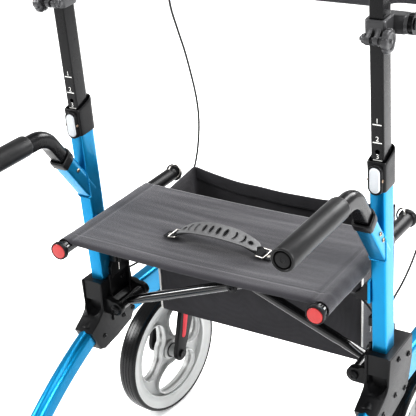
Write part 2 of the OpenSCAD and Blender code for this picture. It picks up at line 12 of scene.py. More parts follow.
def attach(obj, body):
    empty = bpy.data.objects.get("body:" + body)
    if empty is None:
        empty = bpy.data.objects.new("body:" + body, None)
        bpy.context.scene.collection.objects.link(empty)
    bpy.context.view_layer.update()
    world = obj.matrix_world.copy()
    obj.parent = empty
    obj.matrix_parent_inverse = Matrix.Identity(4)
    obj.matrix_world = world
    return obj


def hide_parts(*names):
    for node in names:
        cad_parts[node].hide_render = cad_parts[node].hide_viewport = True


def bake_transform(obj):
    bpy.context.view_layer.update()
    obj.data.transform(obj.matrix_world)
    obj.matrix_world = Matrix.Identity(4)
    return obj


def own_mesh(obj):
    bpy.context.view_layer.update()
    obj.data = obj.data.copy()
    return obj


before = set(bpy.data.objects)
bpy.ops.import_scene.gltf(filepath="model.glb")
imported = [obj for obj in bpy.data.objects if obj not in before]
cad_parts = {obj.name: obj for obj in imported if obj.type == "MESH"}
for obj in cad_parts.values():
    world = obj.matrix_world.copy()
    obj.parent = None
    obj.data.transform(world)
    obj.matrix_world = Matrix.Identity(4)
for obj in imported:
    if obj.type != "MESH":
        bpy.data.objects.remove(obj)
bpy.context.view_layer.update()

MM = 0.001
MID_Y = 84.0
SEAT = 518.0
SIDES = (("left", -1), ("right", 1))
TUBE_X = 228  # seat tubes, from the middle
TUBE_CENTRE = (TUBE_X, 0, 0)


# ---- Geometry: every helper returns (points, faces) ----

def row(p, side=1):
    return (p[0] * side * MM, (p[1] - MID_Y) * MM, (p[2] + SEAT) * MM)


def turn_x(deg, at=(0, 0, 0)):
    return Matrix.Translation(at) @ Matrix.Rotation(math.radians(deg), 4, "X")


def shift(x, y, z):
    return Matrix.Translation((x, y, z))


def placed(geo, m):
    return [m @ Vector(p) for p in geo[0]], geo[1]


def merged(*geos):
    points, faces = [], []
    for g in geos:
        base = len(points)
        points += list(g[0])
        faces += [tuple(i + base for i in f) for f in g[1]]
    return points, faces


def loft(rings, closed=False, caps=(True, True)):
    n = len(rings[0])
    points = [p for r in rings for p in r]
    faces = []
    count = len(rings)
    for i in range(count if closed else count - 1):
        a, b = i * n, (i + 1) % count * n
        faces += [(a + k, a + (k + 1) % n, b + (k + 1) % n, b + k) for k in range(n)]
    if not closed:
        if caps[0]:
            faces.append(tuple(range(n)))
        if caps[1]:
            faces.append(tuple(range((count - 1) * n, count * n)))
    return points, faces


def circle(r, n=32, start=0.0):
    return [(r * math.cos(start + 2 * math.pi * k / n), r * math.sin(start + 2 * math.pi * k / n))
            for k in range(n)]


def lathe(profile, n=48, closed=False, caps=(True, True)):
    """profile is (along, radius) points; the axis is local x."""
    rings = [[(x, r * math.cos(2 * math.pi * k / n), r * math.sin(2 * math.pi * k / n))
              for k in range(n)] for x, r in profile]
    return loft(rings, closed, caps)


AXIS = {"x": Matrix.Identity(4), "y": Matrix.Rotation(math.pi / 2, 4, "Z"),
        "z": Matrix.Rotation(-math.pi / 2, 4, "Y")}


def turned(profile, axis, at, n=48, closed=False, caps=(True, True)):
    return placed(lathe(profile, n, closed, caps), Matrix.Translation(at) @ AXIS[axis])


def rounded(w, h, r, n=5):
    """Outline of a rectangle with rounded corners, centred."""
    out = []
    for cx, cy, a0 in ((1, -1, -90), (1, 1, 0), (-1, 1, 90), (-1, -1, 180)):
        for k in range(n + 1):
            a = math.radians(a0 + 90 * k / n)
            out.append((cx * (w / 2 - r) + r * math.cos(a), cy * (h / 2 - r) + r * math.sin(a)))
    return out


def bullet(w, d, r, n=14, c=4):
    """Outline of the bullet section: flat at y = 0, half round at the front."""
    out = []
    for cx, a0 in ((-1, 180), (1, 270)):
        for k in range(c + 1):
            a = math.radians(a0 + 90 * k / c)
            out.append((cx * (w / 2 - r) + r * math.cos(a), r + r * math.sin(a)))
    mid = d - w / 2
    out += [(w / 2, mid * t) for t in (0.4, 0.75)]
    for k in range(2 * n + 1):
        a = math.pi * k / (2 * n)
        out.append((w / 2 * math.cos(a), mid + w / 2 * math.sin(a)))
    out += [(-w / 2, mid * t) for t in (0.75, 0.4)]
    return out


def flat(outline, z):
    return [(x, y, z) for x, y in outline]


def plate(outlines, t, bevel=0.6, steps=2):
    """A plate of thickness t about local z = 0, with holes where outlines lie in each other."""
    cu = bpy.data.curves.new("plate", "CURVE")
    cu.dimensions, cu.fill_mode = "2D", "BOTH"
    cu.extrude, cu.bevel_depth, cu.bevel_resolution = t / 2 - bevel, bevel, steps
    cu.offset = -bevel
    for o in outlines:
        s = cu.splines.new("POLY")
        s.points.add(len(o) - 1)
        for p, q in zip(s.points, o):
            p.co = (q[0], q[1], 0, 1)
        s.use_cyclic_u = True
    ob = bpy.data.objects.new("plate", cu)
    me = bpy.data.meshes.new_from_object(ob)
    geo = ([v.co.copy() for v in me.vertices], [tuple(p.vertices) for p in me.polygons])
    bpy.data.objects.remove(ob)
    bpy.data.curves.remove(cu)
    bpy.data.meshes.remove(me)
    return geo


def smooth_line(points, per=6):
    """Catmull-Rom through the points."""
    p = [Vector(points[0])] + [Vector(q) for q in points] + [Vector(points[-1])]
    out = []
    for i in range(1, len(p) - 2):
        for k in range(per):
            t = k / per
            out.append(0.5 * (2 * p[i] + (p[i + 1] - p[i - 1]) * t
                              + (2 * p[i - 1] - 5 * p[i] + 4 * p[i + 1] - p[i + 2]) * t * t
                              + (3 * p[i] - p[i - 1] - 3 * p[i + 1] + p[i + 2]) * t ** 3))
    return out + [p[-1]]


def tube(points, radius, n=10, hint=(1, 0, 0.2)):
    """A round tube along points; radius is a number or one per point."""
    rings = []
    for i, p in enumerate(points):
        t = (Vector(points[min(i + 1, len(points) - 1)]) - Vector(points[max(i - 1, 0)])).normalized()
        a = Vector(hint).cross(t).normalized()
        b = t.cross(a)
        r = radius[i] if isinstance(radius, (list, tuple)) else radius
        rings.append([Vector(p) + r * (math.cos(2 * math.pi * k / n) * a
                                       + math.sin(2 * math.pi * k / n) * b) for k in range(n)])
    return loft(rings)


# ---- Pieces ----

def piece(name, geo, material, body, side=1, bevel=0.0, angle=32, subsurf=0, smooth=True,
          replaces=(), segments=2):
    me = bpy.data.meshes.new(name)
    me.from_pydata([row(p, side) for p in geo[0]], [], geo[1])
    bm = bmesh.new()
    bm.from_mesh(me)
    bmesh.ops.remove_doubles(bm, verts=bm.verts, dist=1e-6)
    bmesh.ops.recalc_face_normals(bm, faces=bm.faces)
    limit = math.radians(angle)
    for e in bm.edges:
        e.smooth = bool(bevel or subsurf) or not (
            len(e.link_faces) == 2 and e.calc_face_angle(0) > limit)
    for f in bm.faces:
        f.smooth = smooth
    bm.to_mesh(me)
    bm.free()
    ob = bpy.data.objects.new(name, me)
    bpy.context.scene.collection.objects.link(ob)
    me.materials.append(material)
    if bevel:
        soften(ob, bevel, angle, segments)
    if subsurf:
        m = ob.modifiers.new("subdivide", "SUBSURF")
        m.levels = m.render_levels = subsurf
    if replaces:
        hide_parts(*([replaces] if isinstance(replaces, str) else replaces))
    if body:
        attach(ob, body)
    return ob


def soften(ob, width, angle=32, segments=2):
    m = ob.modifiers.new("edges", "BEVEL")
    m.width, m.segments, m.limit_method = width * MM, segments, "ANGLE"
    m.angle_limit, m.harden_normals = math.radians(angle), True
    m.use_clamp_overlap = True
    m.miter_outer = "MITER_ARC"


def dress(node, material, bevel=0.6, angle=32):
    """Gives a CAD node its material and rounds its sharp edges."""
    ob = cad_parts[node]
    ob.data.materials.clear()
    ob.data.materials.append(material)
    if ob.data.has_custom_normals:
        ob.data.attributes.remove(ob.data.attributes["custom_normal"])
    for p in ob.data.polygons:
        p.use_smooth = True
    m = ob.modifiers.new("weld", "WELD")
    m.merge_threshold = 2e-6
    soften(ob, bevel, angle)
    return ob


# ---- Materials ----

def surface(name, colour, rough=0.4, metal=0.0, spots=(40, 0.06), rough_vary=0.06, grain=(900, 0.1),
            coat=0.0, coat_rough=0.1, sheen=0.0, spec=0.5, wear=0.0, stretch=(1, 1, 1), extra=None):
    """Colour with slow variation, fine grain in the bump, varied roughness and worn edges."""
    ma = bpy.data.materials.new(name)
    ma.use_nodes = True
    nt = ma.node_tree
    bsdf = nt.nodes["Principled BSDF"]
    link = nt.links.new

    def node(kind, **values):
        n = nt.nodes.new(kind)
        for k, v in values.items():
            if k.startswith("_"):
                setattr(n, k[1:], v)
            else:
                n.inputs[k.replace("__", " ")].default_value = v
        return n

    where = node("ShaderNodeTexCoord")
    mapping = node("ShaderNodeMapping", Scale=stretch)
    link(where.outputs["Object"], mapping.inputs["Vector"])
    at = mapping.outputs["Vector"]
    slow = node("ShaderNodeTexNoise", Scale=spots[0], Detail=5.0, Roughness=0.6)
    link(at, slow.inputs["Vector"])
    mix = node("ShaderNodeMixRGB")
    link(slow.outputs["Fac"], mix.inputs["Fac"])
    mix.inputs["Color1"].default_value = (*[c * (1 - spots[1] * 2) for c in colour], 1)
    mix.inputs["Color2"].default_value = (*[min(1, c * (1 + spots[1] * 2)) for c in colour], 1)
    out = mix.outputs["Color"]
    rr = node("ShaderNodeMapRange")
    rr.inputs["To Min"].default_value = rough - rough_vary
    rr.inputs["To Max"].default_value = rough + rough_vary
    link(slow.outputs["Fac"], rr.inputs["Value"])
    fine = node("ShaderNodeTexNoise", Scale=grain[0], Detail=3.0)
    link(at, fine.inputs["Vector"])
    height = fine.outputs["Fac"]
    if wear:
        geo = node("ShaderNodeNewGeometry")
        edge = node("ShaderNodeMapRange")
        edge.inputs["From Min"].default_value = 0.53
        edge.inputs["From Max"].default_value = 0.62
        edge.inputs["To Max"].default_value = wear
        link(geo.outputs["Pointiness"], edge.inputs["Value"])
        worn = node("ShaderNodeMixRGB")
        link(edge.outputs["Result"], worn.inputs["Fac"])
        link(out, worn.inputs["Color1"])
        worn.inputs["Color2"].default_value = (*[min(1, c * 2 + 0.05) for c in colour], 1)
        out = worn.outputs["Color"]
    if extra:
        out, height = extra(nt, node, link, at, out, height)
    link(out, bsdf.inputs["Base Color"])
    link(rr.outputs["Result"], bsdf.inputs["Roughness"])
    bump = node("ShaderNodeBump", Strength=grain[1], Distance=0.0004)
    link(height, bump.inputs["Height"])
    link(bump.outputs["Normal"], bsdf.inputs["Normal"])
    bsdf.inputs["Metallic"].default_value = metal
    bsdf.inputs["Coat Weight"].default_value = coat
    bsdf.inputs["Coat Roughness"].default_value = coat_rough
    bsdf.inputs["Sheen Weight"].default_value = sheen
    bsdf.inputs["Specular IOR Level"].default_value = spec
    return ma


def weave(pitch, depth, contrast, streak=0.0):
    """Plain weave along object x and y plus slubs, for cloth."""
    def add(nt, node, link, at, out, height):
        heights = []
        for direction in ("X", "Y"):
            w = node("ShaderNodeTexWave", Scale=1000.0 / pitch / 2, Distortion=1.2, Detail=1.0)
            w.bands_direction = direction
            w.inputs["Detail Scale"].default_value = 0.4
            link(at, w.inputs["Vector"])
            heights.append(w.outputs["Fac"])
        both = node("ShaderNodeMath", _operation="MULTIPLY")
        link(heights[0], both.inputs[0])
        link(heights[1], both.inputs[1])
        total = node("ShaderNodeMath", _operation="MULTIPLY_ADD")
        link(both.outputs[0], total.inputs[0])
        total.inputs[1].default_value = depth
        link(height, total.inputs[2])
        shade = node("ShaderNodeMixRGB", _blend_type="MULTIPLY")
        shade.inputs["Fac"].default_value = contrast
        link(out, shade.inputs["Color1"])
        link(both.outputs[0], shade.inputs["Color2"])
        return shade.outputs["Color"], total.outputs[0]
    return add


M = {
    "blue": surface("frame_blue", (0.0, 0.235, 0.42), 0.38, metal=0.75, spots=(14, 0.05),
                    grain=(2500, 0.10), coat=0.35, coat_rough=0.06, wear=0.2),
    "black_paint": surface("black_paint", (0.006, 0.006, 0.007), 0.28, spots=(30, 0.1), grain=(600, 0.05),
                           coat=0.2, coat_rough=0.10, spec=0.35, wear=0.15),
    "plastic": surface("black_plastic", (0.009, 0.009, 0.010), 0.34, spots=(60, 0.12), grain=(1400, 0.18),
                       spec=0.36, wear=0.3),
    "white": surface("white_plastic", (0.62, 0.64, 0.66), 0.3, spots=(50, 0.03), grain=(900, 0.03)),
    "print": surface("white_print", (0.82, 0.82, 0.80), 0.5, spots=(300, 0.08), grain=(900, 0.05)),
    "foam": surface("foam", (0.018, 0.018, 0.019), 0.38, spots=(90, 0.16), grain=(900, 0.25), spec=0.45),
    "rubber": surface("grip_rubber", (0.03, 0.03, 0.031), 0.6, spots=(90, 0.12), grain=(900, 0.35)),
    "steel": surface("steel", (0.62, 0.60, 0.57), 0.28, metal=1.0, spots=(120, 0.1), grain=(900, 0.12)),
    "bronze": surface("rivet", (0.42, 0.33, 0.26), 0.32, metal=1.0, spots=(120, 0.12), grain=(900, 0.1)),
    "rim": surface("rim_plastic", (0.50, 0.505, 0.50), 0.34, spots=(25, 0.04), grain=(1500, 0.12),
                   wear=0.1),
    "tyre": surface("tyre", (0.010, 0.010, 0.011), 0.22, spots=(70, 0.12), grain=(800, 0.25)),
    "cable": surface("cable_jacket", (0.02, 0.02, 0.021), 0.4, spots=(80, 0.1), grain=(900, 0.1)),
    "red": surface("reflector", (0.45, 0.03, 0.03), 0.22, spots=(90, 0.1), grain=(900, 0.05), coat=0.6),
    "seat": surface("seat_cloth", (0.046, 0.044, 0.051), 0.78, spots=(18, 0.10), grain=(1500, 0.4),
                    sheen=0.35, spec=0.35, extra=weave(1.3, 0.5, 0.12)),
    "bag": surface("bag_cloth", (0.052, 0.050, 0.055), 0.72, spots=(25, 0.18), grain=(1500, 0.4),
                   sheen=0.25, spec=0.3, extra=weave(1.1, 0.4, 0.1)),
    "padding": surface("padding", (0.05, 0.05, 0.055), 0.85, spots=(60, 0.15), grain=(1100, 0.5),
                       sheen=0.4),
    "black_gloss": surface("black_gloss", (0.008, 0.008, 0.009), 0.15, spots=(30, 0.1), grain=(500, 0.04),
                           coat=0.8, coat_rough=0.05, wear=0.2),
    "black_steel": surface("black_screw", (0.012, 0.012, 0.013), 0.28, metal=0.2, spots=(120, 0.1),
                           grain=(900, 0.08)),
    "cast": surface("cast_grey", (0.085, 0.085, 0.088), 0.30, metal=0.35, spots=(50, 0.15),
                    grain=(900, 0.15), wear=0.5),
    "grey": surface("moulded_grey", (0.15, 0.15, 0.152), 0.42, spots=(80, 0.1), grain=(1300, 0.15),
                    wear=0.25),
    "inlay": surface("red_inlay", (0.55, 0.025, 0.045), 0.4, spots=(90, 0.05), grain=(900, 0.05)),
    "webbing": surface("webbing", (0.022, 0.022, 0.024), 0.8, spots=(90, 0.2), grain=(900, 0.4),
                       extra=weave(2.2, 1.5, 0.5)),
    "thread": surface("thread", (0.028, 0.027, 0.031), 0.7, spots=(400, 0.15), grain=(2000, 0.3)),
    "piping": surface("piping", (0.72, 0.71, 0.69), 0.6, spots=(200, 0.06), grain=(1200, 0.3)),
}

# ---- Camera, stage and light ----

CAMERA_AT = (0.84413, -1.31673, 1.34388)
CAMERA_AZIMUTH = 32.58
CAMERA_ELEVATION = 25.41
CAMERA_ROLL = -0.06
CAMERA_LENS = 97.56
SENSOR = 36.0
FLOOR_HALF = 40.0


def camera():
    """The photo's camera, solved from points on the frame; roll is in radians."""
    az, el, roll = math.radians(CAMERA_AZIMUTH), math.radians(CAMERA_ELEVATION), CAMERA_ROLL
    fwd = Vector((-math.sin(az) * math.cos(el), math.cos(az) * math.cos(el), -math.sin(el)))
    r = Vector((math.cos(az), math.sin(az), 0))
    u = r.cross(fwd)
    right = r * math.cos(roll) + u * math.sin(roll)
    up = u * math.cos(roll) - r * math.sin(roll)
    cam = bpy.data.objects.new("camera", bpy.data.cameras.new("camera"))
    cam.matrix_world = (Matrix.Translation(CAMERA_AT)
                        @ Matrix((right, up, -fwd)).transposed().to_4x4())
    cam.data.lens = CAMERA_LENS
    cam.data.sensor_width = SENSOR
    bpy.context.scene.collection.objects.link(cam)
    bpy.context.scene.camera = cam


def area(name, at, target, size, energy, colour=(1, 1, 1)):
    li = bpy.data.lights.new(name, "AREA")
    li.shape, li.size, li.energy, li.color = "SQUARE", size, energy, colour
    ob = bpy.data.objects.new(name, li)
    ob.location = at
    ob.rotation_mode = "QUATERNION"
    ob.rotation_quaternion = (Vector(target) - Vector(at)).to_track_quat("-Z", "Y")
    bpy.context.scene.collection.objects.link(ob)


def studio():
    me = bpy.data.meshes.new("floor")
    s = FLOOR_HALF
    me.from_pydata([(-s, -s, 0), (s, -s, 0), (s, s, 0), (-s, s, 0)], [], [(0, 1, 2, 3)])
    floor = bpy.data.objects.new("floor", me)
    white = surface("floor", (0.93, 0.93, 0.93), 0.8, spots=(2, 0.01), grain=(30, 0.02))
    shader = white.node_tree.nodes["Principled BSDF"]
    shader.inputs["Emission Color"].default_value = (1, 1, 1, 1)
    shader.inputs["Emission Strength"].default_value = 0.30
    me.materials.append(white)
    bpy.context.scene.collection.objects.link(floor)
    world = bpy.data.worlds.new("studio")
    world.use_nodes = True
    nt = world.node_tree
    where = nt.nodes.new("ShaderNodeTexCoord")
    split = nt.nodes.new("ShaderNodeSeparateXYZ")
    ramp = nt.nodes.new("ShaderNodeValToRGB")
    nt.links.new(where.outputs["Generated"], split.inputs["Vector"])
    nt.links.new(split.outputs["Z"], ramp.inputs["Fac"])
    nt.links.new(ramp.outputs["Color"], nt.nodes["Background"].inputs["Color"])
    ramp.color_ramp.elements[0].color = (1, 1, 1, 1)
    ramp.color_ramp.elements[1].color = (0.5, 0.5, 0.5, 1)
    ramp.color_ramp.elements[0].position = 0.05
    ramp.color_ramp.elements[1].position = 0.45
    nt.nodes["Background"].inputs["Strength"].default_value = 1.0
    bpy.context.scene.world = world
    area("top", (0.2, 0.1, 3.2), (0, 0, 0.5), 2.4, 85)
    area("key", (-2.6, -1.2, 2.0), (0, 0, 0.6), 1.2, 55)
    area("fill", (2.4, -0.2, 1.7), (0, 0, 0.6), 1.2, 55)
    area("rim", (0.6, 2.6, 1.9), (0, 0, 0.6), 1.6, 60)
    view = bpy.context.scene.view_settings
    view.view_transform = "Standard"
    view.exposure = 0.22
    view.gamma = 0.72


# ---- Local frames of the CAD source ----

POST_X = 267.6
LEAN = 3.0  # degrees, posts lean rearwards going up
FOOT = (POST_X, 130.7, -129.6)  # where the post leaves the junction
POST = turn_x(LEAN, FOOT)
TAN_LEAN = math.tan(math.radians(LEAN))


def post_y(z):
    return FOOT[1] - (z - FOOT[2]) * TAN_LEAN


RISE = 53.6  # degrees of the assist socket above the horizontal
SOCKET = turn_x(90 - RISE, (POST_X, post_y(60), 60))
SWIVEL = (POST_X, 378)  # x and y
AXLE = (333, -391)  # y and z
YAW = -6.0  # degrees that the casters stand turned at rest
REAR_AXLE = (-190.5, -416.5)  # y and z
REAR_X = 300.0
PIVOT = (228.2, -177.8)  # x and z of the brace hinge
CROSS_Z = -88.9  # bolt of the cross
BUTTON_S = 299  # button centre, up the post
CLAMP_BOLT_S = 508  # clamp bolt, up the post
BACKREST_Y = 298.3
GRIP = turn_x(-10, (POST_X, 322, 574)) @ shift(0, 40, 0)


def caster(side):
    """Turns a caster's pieces about the swivel, the same way on both sides."""
    return (shift(SWIVEL[0], SWIVEL[1], 0) @ Matrix.Rotation(math.radians(side * YAW), 4, "Z")
            @ shift(-SWIVEL[0], -SWIVEL[1], 0))


def cut(geo, *tools):
    """Exact difference of solids, as points and faces again."""
    def solid(g):
        me = bpy.data.meshes.new("solid")
        me.from_pydata([tuple(p) for p in g[0]], [], g[1])
        bm = bmesh.new()
        bm.from_mesh(me)
        bmesh.ops.remove_doubles(bm, verts=bm.verts, dist=1e-4)
        bmesh.ops.recalc_face_normals(bm, faces=bm.faces)
        bm.to_mesh(me)
        bm.free()
        ob = bpy.data.objects.new("solid", me)
        bpy.context.scene.collection.objects.link(ob)
        return ob
    base = solid(geo)
    others = [solid(t) for t in tools]
    for o in others:
        m = base.modifiers.new("cut", "BOOLEAN")
        m.operation, m.solver, m.object = "DIFFERENCE", "EXACT", o
    bpy.context.view_layer.update()
    done = bpy.data.meshes.new_from_object(base.evaluated_get(bpy.context.evaluated_depsgraph_get()))
    out = ([v.co.copy() for v in done.vertices], [tuple(p.vertices) for p in done.polygons])
    for o in [base, *others]:
        me = o.data
        bpy.data.objects.remove(o)
        bpy.data.meshes.remove(me)
    bpy.data.meshes.remove(done)
    return out


def prism(outline, z0, z1):
    return loft([flat(outline, z0), flat(outline, z1)])


def box(x0, x1, y0, y1, z0, z1):
    return prism([(x0, y0), (x1, y0), (x1, y1), (x0, y1)], z0, z1)


SIDE_PLANE = Matrix(((0, 0, 1, 0), (1, 0, 0, 0), (0, 1, 0, 0), (0, 0, 0, 1)))


def screw(at, axis, r=4.0, h=2.2, sides=6):
    """Button head with a socket, at a point, its head along the axis."""
    head = [(0, r), (h * 0.45, r), (h * 0.8, r * 0.82), (h, r * 0.5), (h, r * 0.42)]
    geo = merged(lathe(head, 20, caps=(True, False)),
                 lathe([(h, r * 0.42), (h * 0.35, r * 0.40)], sides, caps=(False, True)))
    q = Vector((1, 0, 0)).rotation_difference(Vector(axis)).to_matrix().to_4x4()
    return placed(geo, Matrix.Translation(at) @ q)


def bead(path, r, pitch, squash=0.55):
    """Fish-scale weld: overlapping flattened ripples along a closed path."""
    pts = [Vector(p) for p in path]
    total = sum((b - a).length for a, b in zip(pts, pts[1:]))
    count = int(total / pitch)
    geos, run, i = [], 0.0, 0
    for k in range(count):
        want = k * total / count
        while run + (pts[i + 1] - pts[i]).length < want:
            run += (pts[i + 1] - pts[i]).length
            i += 1
        d = (pts[i + 1] - pts[i])
        at = pts[i] + d * ((want - run) / d.length)
        q = Vector((1, 0, 0)).rotation_difference(d.normalized()).to_matrix().to_4x4()
        tilt = Matrix.Rotation(0.5, 4, "Y")
        prof = [(-pitch * squash, 0.05), (-pitch * 0.35, r * 0.75), (0, r), (pitch * 0.35, r * 0.75),
                (pitch * squash, 0.05)]
        geos.append(placed(lathe(prof, 10), Matrix.Translation(at) @ q @ tilt))
    return merged(*geos)


# ---- Frame ----

def post_and_socket(word, side):
    body = f"{word}_frame"
    section = bullet(24, 40, 3)
    inner = [(x * 0.86, 1.7 + (y - 1.7) * 0.955) for x, y in bullet(24, 38, 3)]
    wall = loft([flat(section, -70), flat(section, 318), flat(inner, 318), flat(inner, 270)])
    sock = bullet(26, 30, 3)
    hole = [(x, y - 14) for x, y in sock]
    lip = [(x * 0.87, (y - 1.5) * 0.88) for x, y in hole]
    socket = placed(loft([flat(hole, -22), flat(hole, 68), flat(lip, 68), flat(lip, 60)]), SOCKET)
    plate_geo = placed(plate([rounded(16, 39, 2)], 4.4, 0.8),
                       shift(POST_X - 14.0, 129, -22.5) @ SIDE_PLANE)
    geo = merged(placed(wall, POST), socket, plate_geo)
    piece(f"{word}_post_shell", geo, M["blue"], body, side, replaces=f"{word}_post",
          bevel=0.5, angle=38)
    # weld where the socket's outline meets the rear face of the post
    loop = []
    n = Vector((0, math.cos(math.radians(LEAN)), math.sin(math.radians(LEAN))))
    origin = Vector((POST_X, post_y(0), 0))
    up = SOCKET.to_3x3() @ Vector((0, 0, 1))
    for x, y in hole + hole[:1]:
        p = SOCKET @ Vector((x, y, 0))
        t = (origin - p).dot(n) / up.dot(n)
        q = p + up * t
        loop.append((POST_X + max(-12.4, min(12.4, q.x - POST_X)), q.y - 0.3, q.z))
    piece(f"{word}_weld", bead(loop, 2.3, 2.6), M["blue"], body, side)
    bolts = []
    for k, out in ((34, 1), (52, 1), (43, -1)):
        bolts.append(screw(SOCKET @ Vector((13 * out, 1.5, k - (14 if out > 0 else 0))),
                           (out, 0, 0), 3.6, 2.0))
    piece(f"{word}_socket_screws", merged(*bolts), M["bronze"], body, side)
    # black cradle that the seat tube rests in, screwed to the blue plate
    cradle = cut(placed(plate([[(-16, -24), (4, -24), (4, 4), (-1, 5), (-3.4, 1), (-9, -9), (-16, -13)]],
                              15, 1.0), shift(247.5, 129, -14) @ Matrix.Rotation(math.pi / 2, 4, "X")),
                 turned([(-12, 14.0), (12, 14.0)], "y", (TUBE_X, 129, 0), 40))
    stop = placed(prism(rounded(13, 13, 1.5), 0, 15), shift(246, 159, -101))
    adjuster = turned([(0, 3.6), (9, 3.6), (9.5, 3), (14, 2.2), (16, 2.2)], "z", (241, 163, -104), 18)
    piece(f"{word}_cradle", merged(cradle, stop, adjuster), M["plastic"], body, side, bevel=0.5)


def stem_marks(word, side):
    """Setting numbers and their bars, printed on the rear face of the stem."""
    geos = []
    for digit, s in (("1", 380.2), ("2", 352.9), ("3", 326.0)):
        cu = bpy.data.curves.new("digit", "FONT")
        cu.body, cu.size, cu.align_x, cu.extrude = digit, 10.4, "CENTER", 0.06
        cu.offset = 0.12
        ob = bpy.data.objects.new("digit", cu)
        me = bpy.data.meshes.new_from_object(ob)
        face = (Matrix.Translation((side * POST_X, FOOT[1], FOOT[2])) @ Matrix.Rotation(
            math.radians(LEAN), 4, "X") @ shift(0, 2.94, s) @ Matrix.Rotation(math.pi / 2, 4, "X"))
        geos.append(placed(([v.co.copy() + Vector((0, 2.4, 0)) for v in me.vertices],
                            [tuple(p.vertices) for p in me.polygons]), face))
        bpy.data.objects.remove(ob)
        bpy.data.curves.remove(cu)
        bpy.data.meshes.remove(me)
        geos.append(placed(plate([rounded(14, 1.9, 0.6)], 0.12, 0.02), face))
    geo = merged(*geos)
    piece(f"{word}_stem_marks", geo, M["print"], f"{word}_upper", 1, smooth=False)


def collar(word, side):
    """Thick-lipped collar whose top climbs to the front, with the oval boss for the button."""
    outer = bullet(28.6, 46.5, 4, 16, 5)
    inner = bullet(24.8, 42.0, 3, 16, 5)
    # same number of points, so the wall, the rounded lip and the inside loft together
    def ring(outline, inset, base, lift, top):
        out = []
        cy = 20.0
        for x, y in outline:
            t = max(0.0, min(1.0, (y + 3) / 46.5))
            k = 1 - inset / 20.0
            z = (base + top * t ** 1.3) if lift is None else lift
            out.append((x * k, -3 + cy + (y - cy) * k, z))
        return out
    rings = [ring(outer, 1.2, 0, 279, 0), ring(outer, 0.25, 0, 279.8, 0), ring(outer, 0, 0, 281.2, 0),
             ring(outer, 0, 0, 300, 0), ring(outer, -0.2, 315, None, 7.0),
             ring(outer, -0.5, 321.4, None, 10.0), ring(outer, -0.2, 323.8, None, 11.2),
             ring(outer, 0.9, 324.9, None, 11.8)]
    rings += [[(x * s, 0.2 + y * s2, z0 + top * max(0, min(1, y / 42.0)) ** 1.3) for x, y in inner]
              for s, s2, z0, top in ((1.02, 0.99, 324.9, 11.8), (0.97, 0.975, 323.4, 11.0),
                                     (0.95, 0.965, 319, 8), (0.94, 0.96, 312, 0))]
    shell = loft(rings)
    boss_out = [(x, y + BUTTON_S) for x, y in rounded(21.4, 47.5, 10.6, 10)]
    boss_in = [(x, y + BUTTON_S) for x, y in rounded(17.0, 41.0, 8.4, 10)]
    # outline lies in x-s, and depth runs rearwards from the post face
    def band(outline, y):
        return [(x, y, s) for x, s in outline]
    def grown(outline, g):
        return [(x * (1 + g / 10.7), BUTTON_S + (s - BUTTON_S) * (1 + g / 23.7)) for x, s in outline]
    boss = loft([band(grown(boss_out, 0.8), 0), band(grown(boss_out, 0.3), -4.0),
                 band(boss_out, -6.4), band(grown(boss_out, -0.5), -7.6), band(grown(boss_out, -1.3), -8),
                 band(grown(boss_in, 0.3), -7.9), band(boss_in, -7.2), band(boss_in, -1.4)])
    piece(f"{word}_collar_shell", placed(merged(shell, boss), POST), M["plastic"], f"{word}_frame",
          side, replaces=f"{word}_collar", angle=50)
    rivets = [placed(screw((x, -5.2, BUTTON_S), (x, 0, 0), 2.6, 1.2, 12), POST) for x in (-10.9, 10.9)]
    piece(f"{word}_collar_rivets", merged(*rivets), M["bronze"], f"{word}_frame", side)
    # the white rocker: a pillow with a shallow step across its middle
    def pad(y, g, n=12):
        return [(x, y, s + BUTTON_S) for x, s in rounded(16.2 - 2 * g, 40.0 - 2 * g, 8.05 - g, n)]
    rocker = loft([pad(-4.6, 0.3), pad(-8.4, 0.0), pad(-9.0, 0.4), pad(-9.5, 1.2), pad(-9.75, 2.6),
                   pad(-9.85, 5.0), pad(-9.9, 7.2)])
    pts = []
    for x, y, s in rocker[0]:
        if y < -7:
            d = (s - BUTTON_S) / 20
            y += 1.1 * max(0.0, d) ** 2 - 0.35 * math.exp(-((s - 300.5) / 0.9) ** 2) * (y < -9)
        pts.append((x, y, s))
    pin = turned([(0, 3), (6.6, 3)], "y", (0, -4, 312), 16)
    piece(f"{word}_rocker", placed(merged((pts, rocker[1]), pin), POST), M["white"],
          f"{word}_release", side, replaces=f"{word}_button", angle=50)


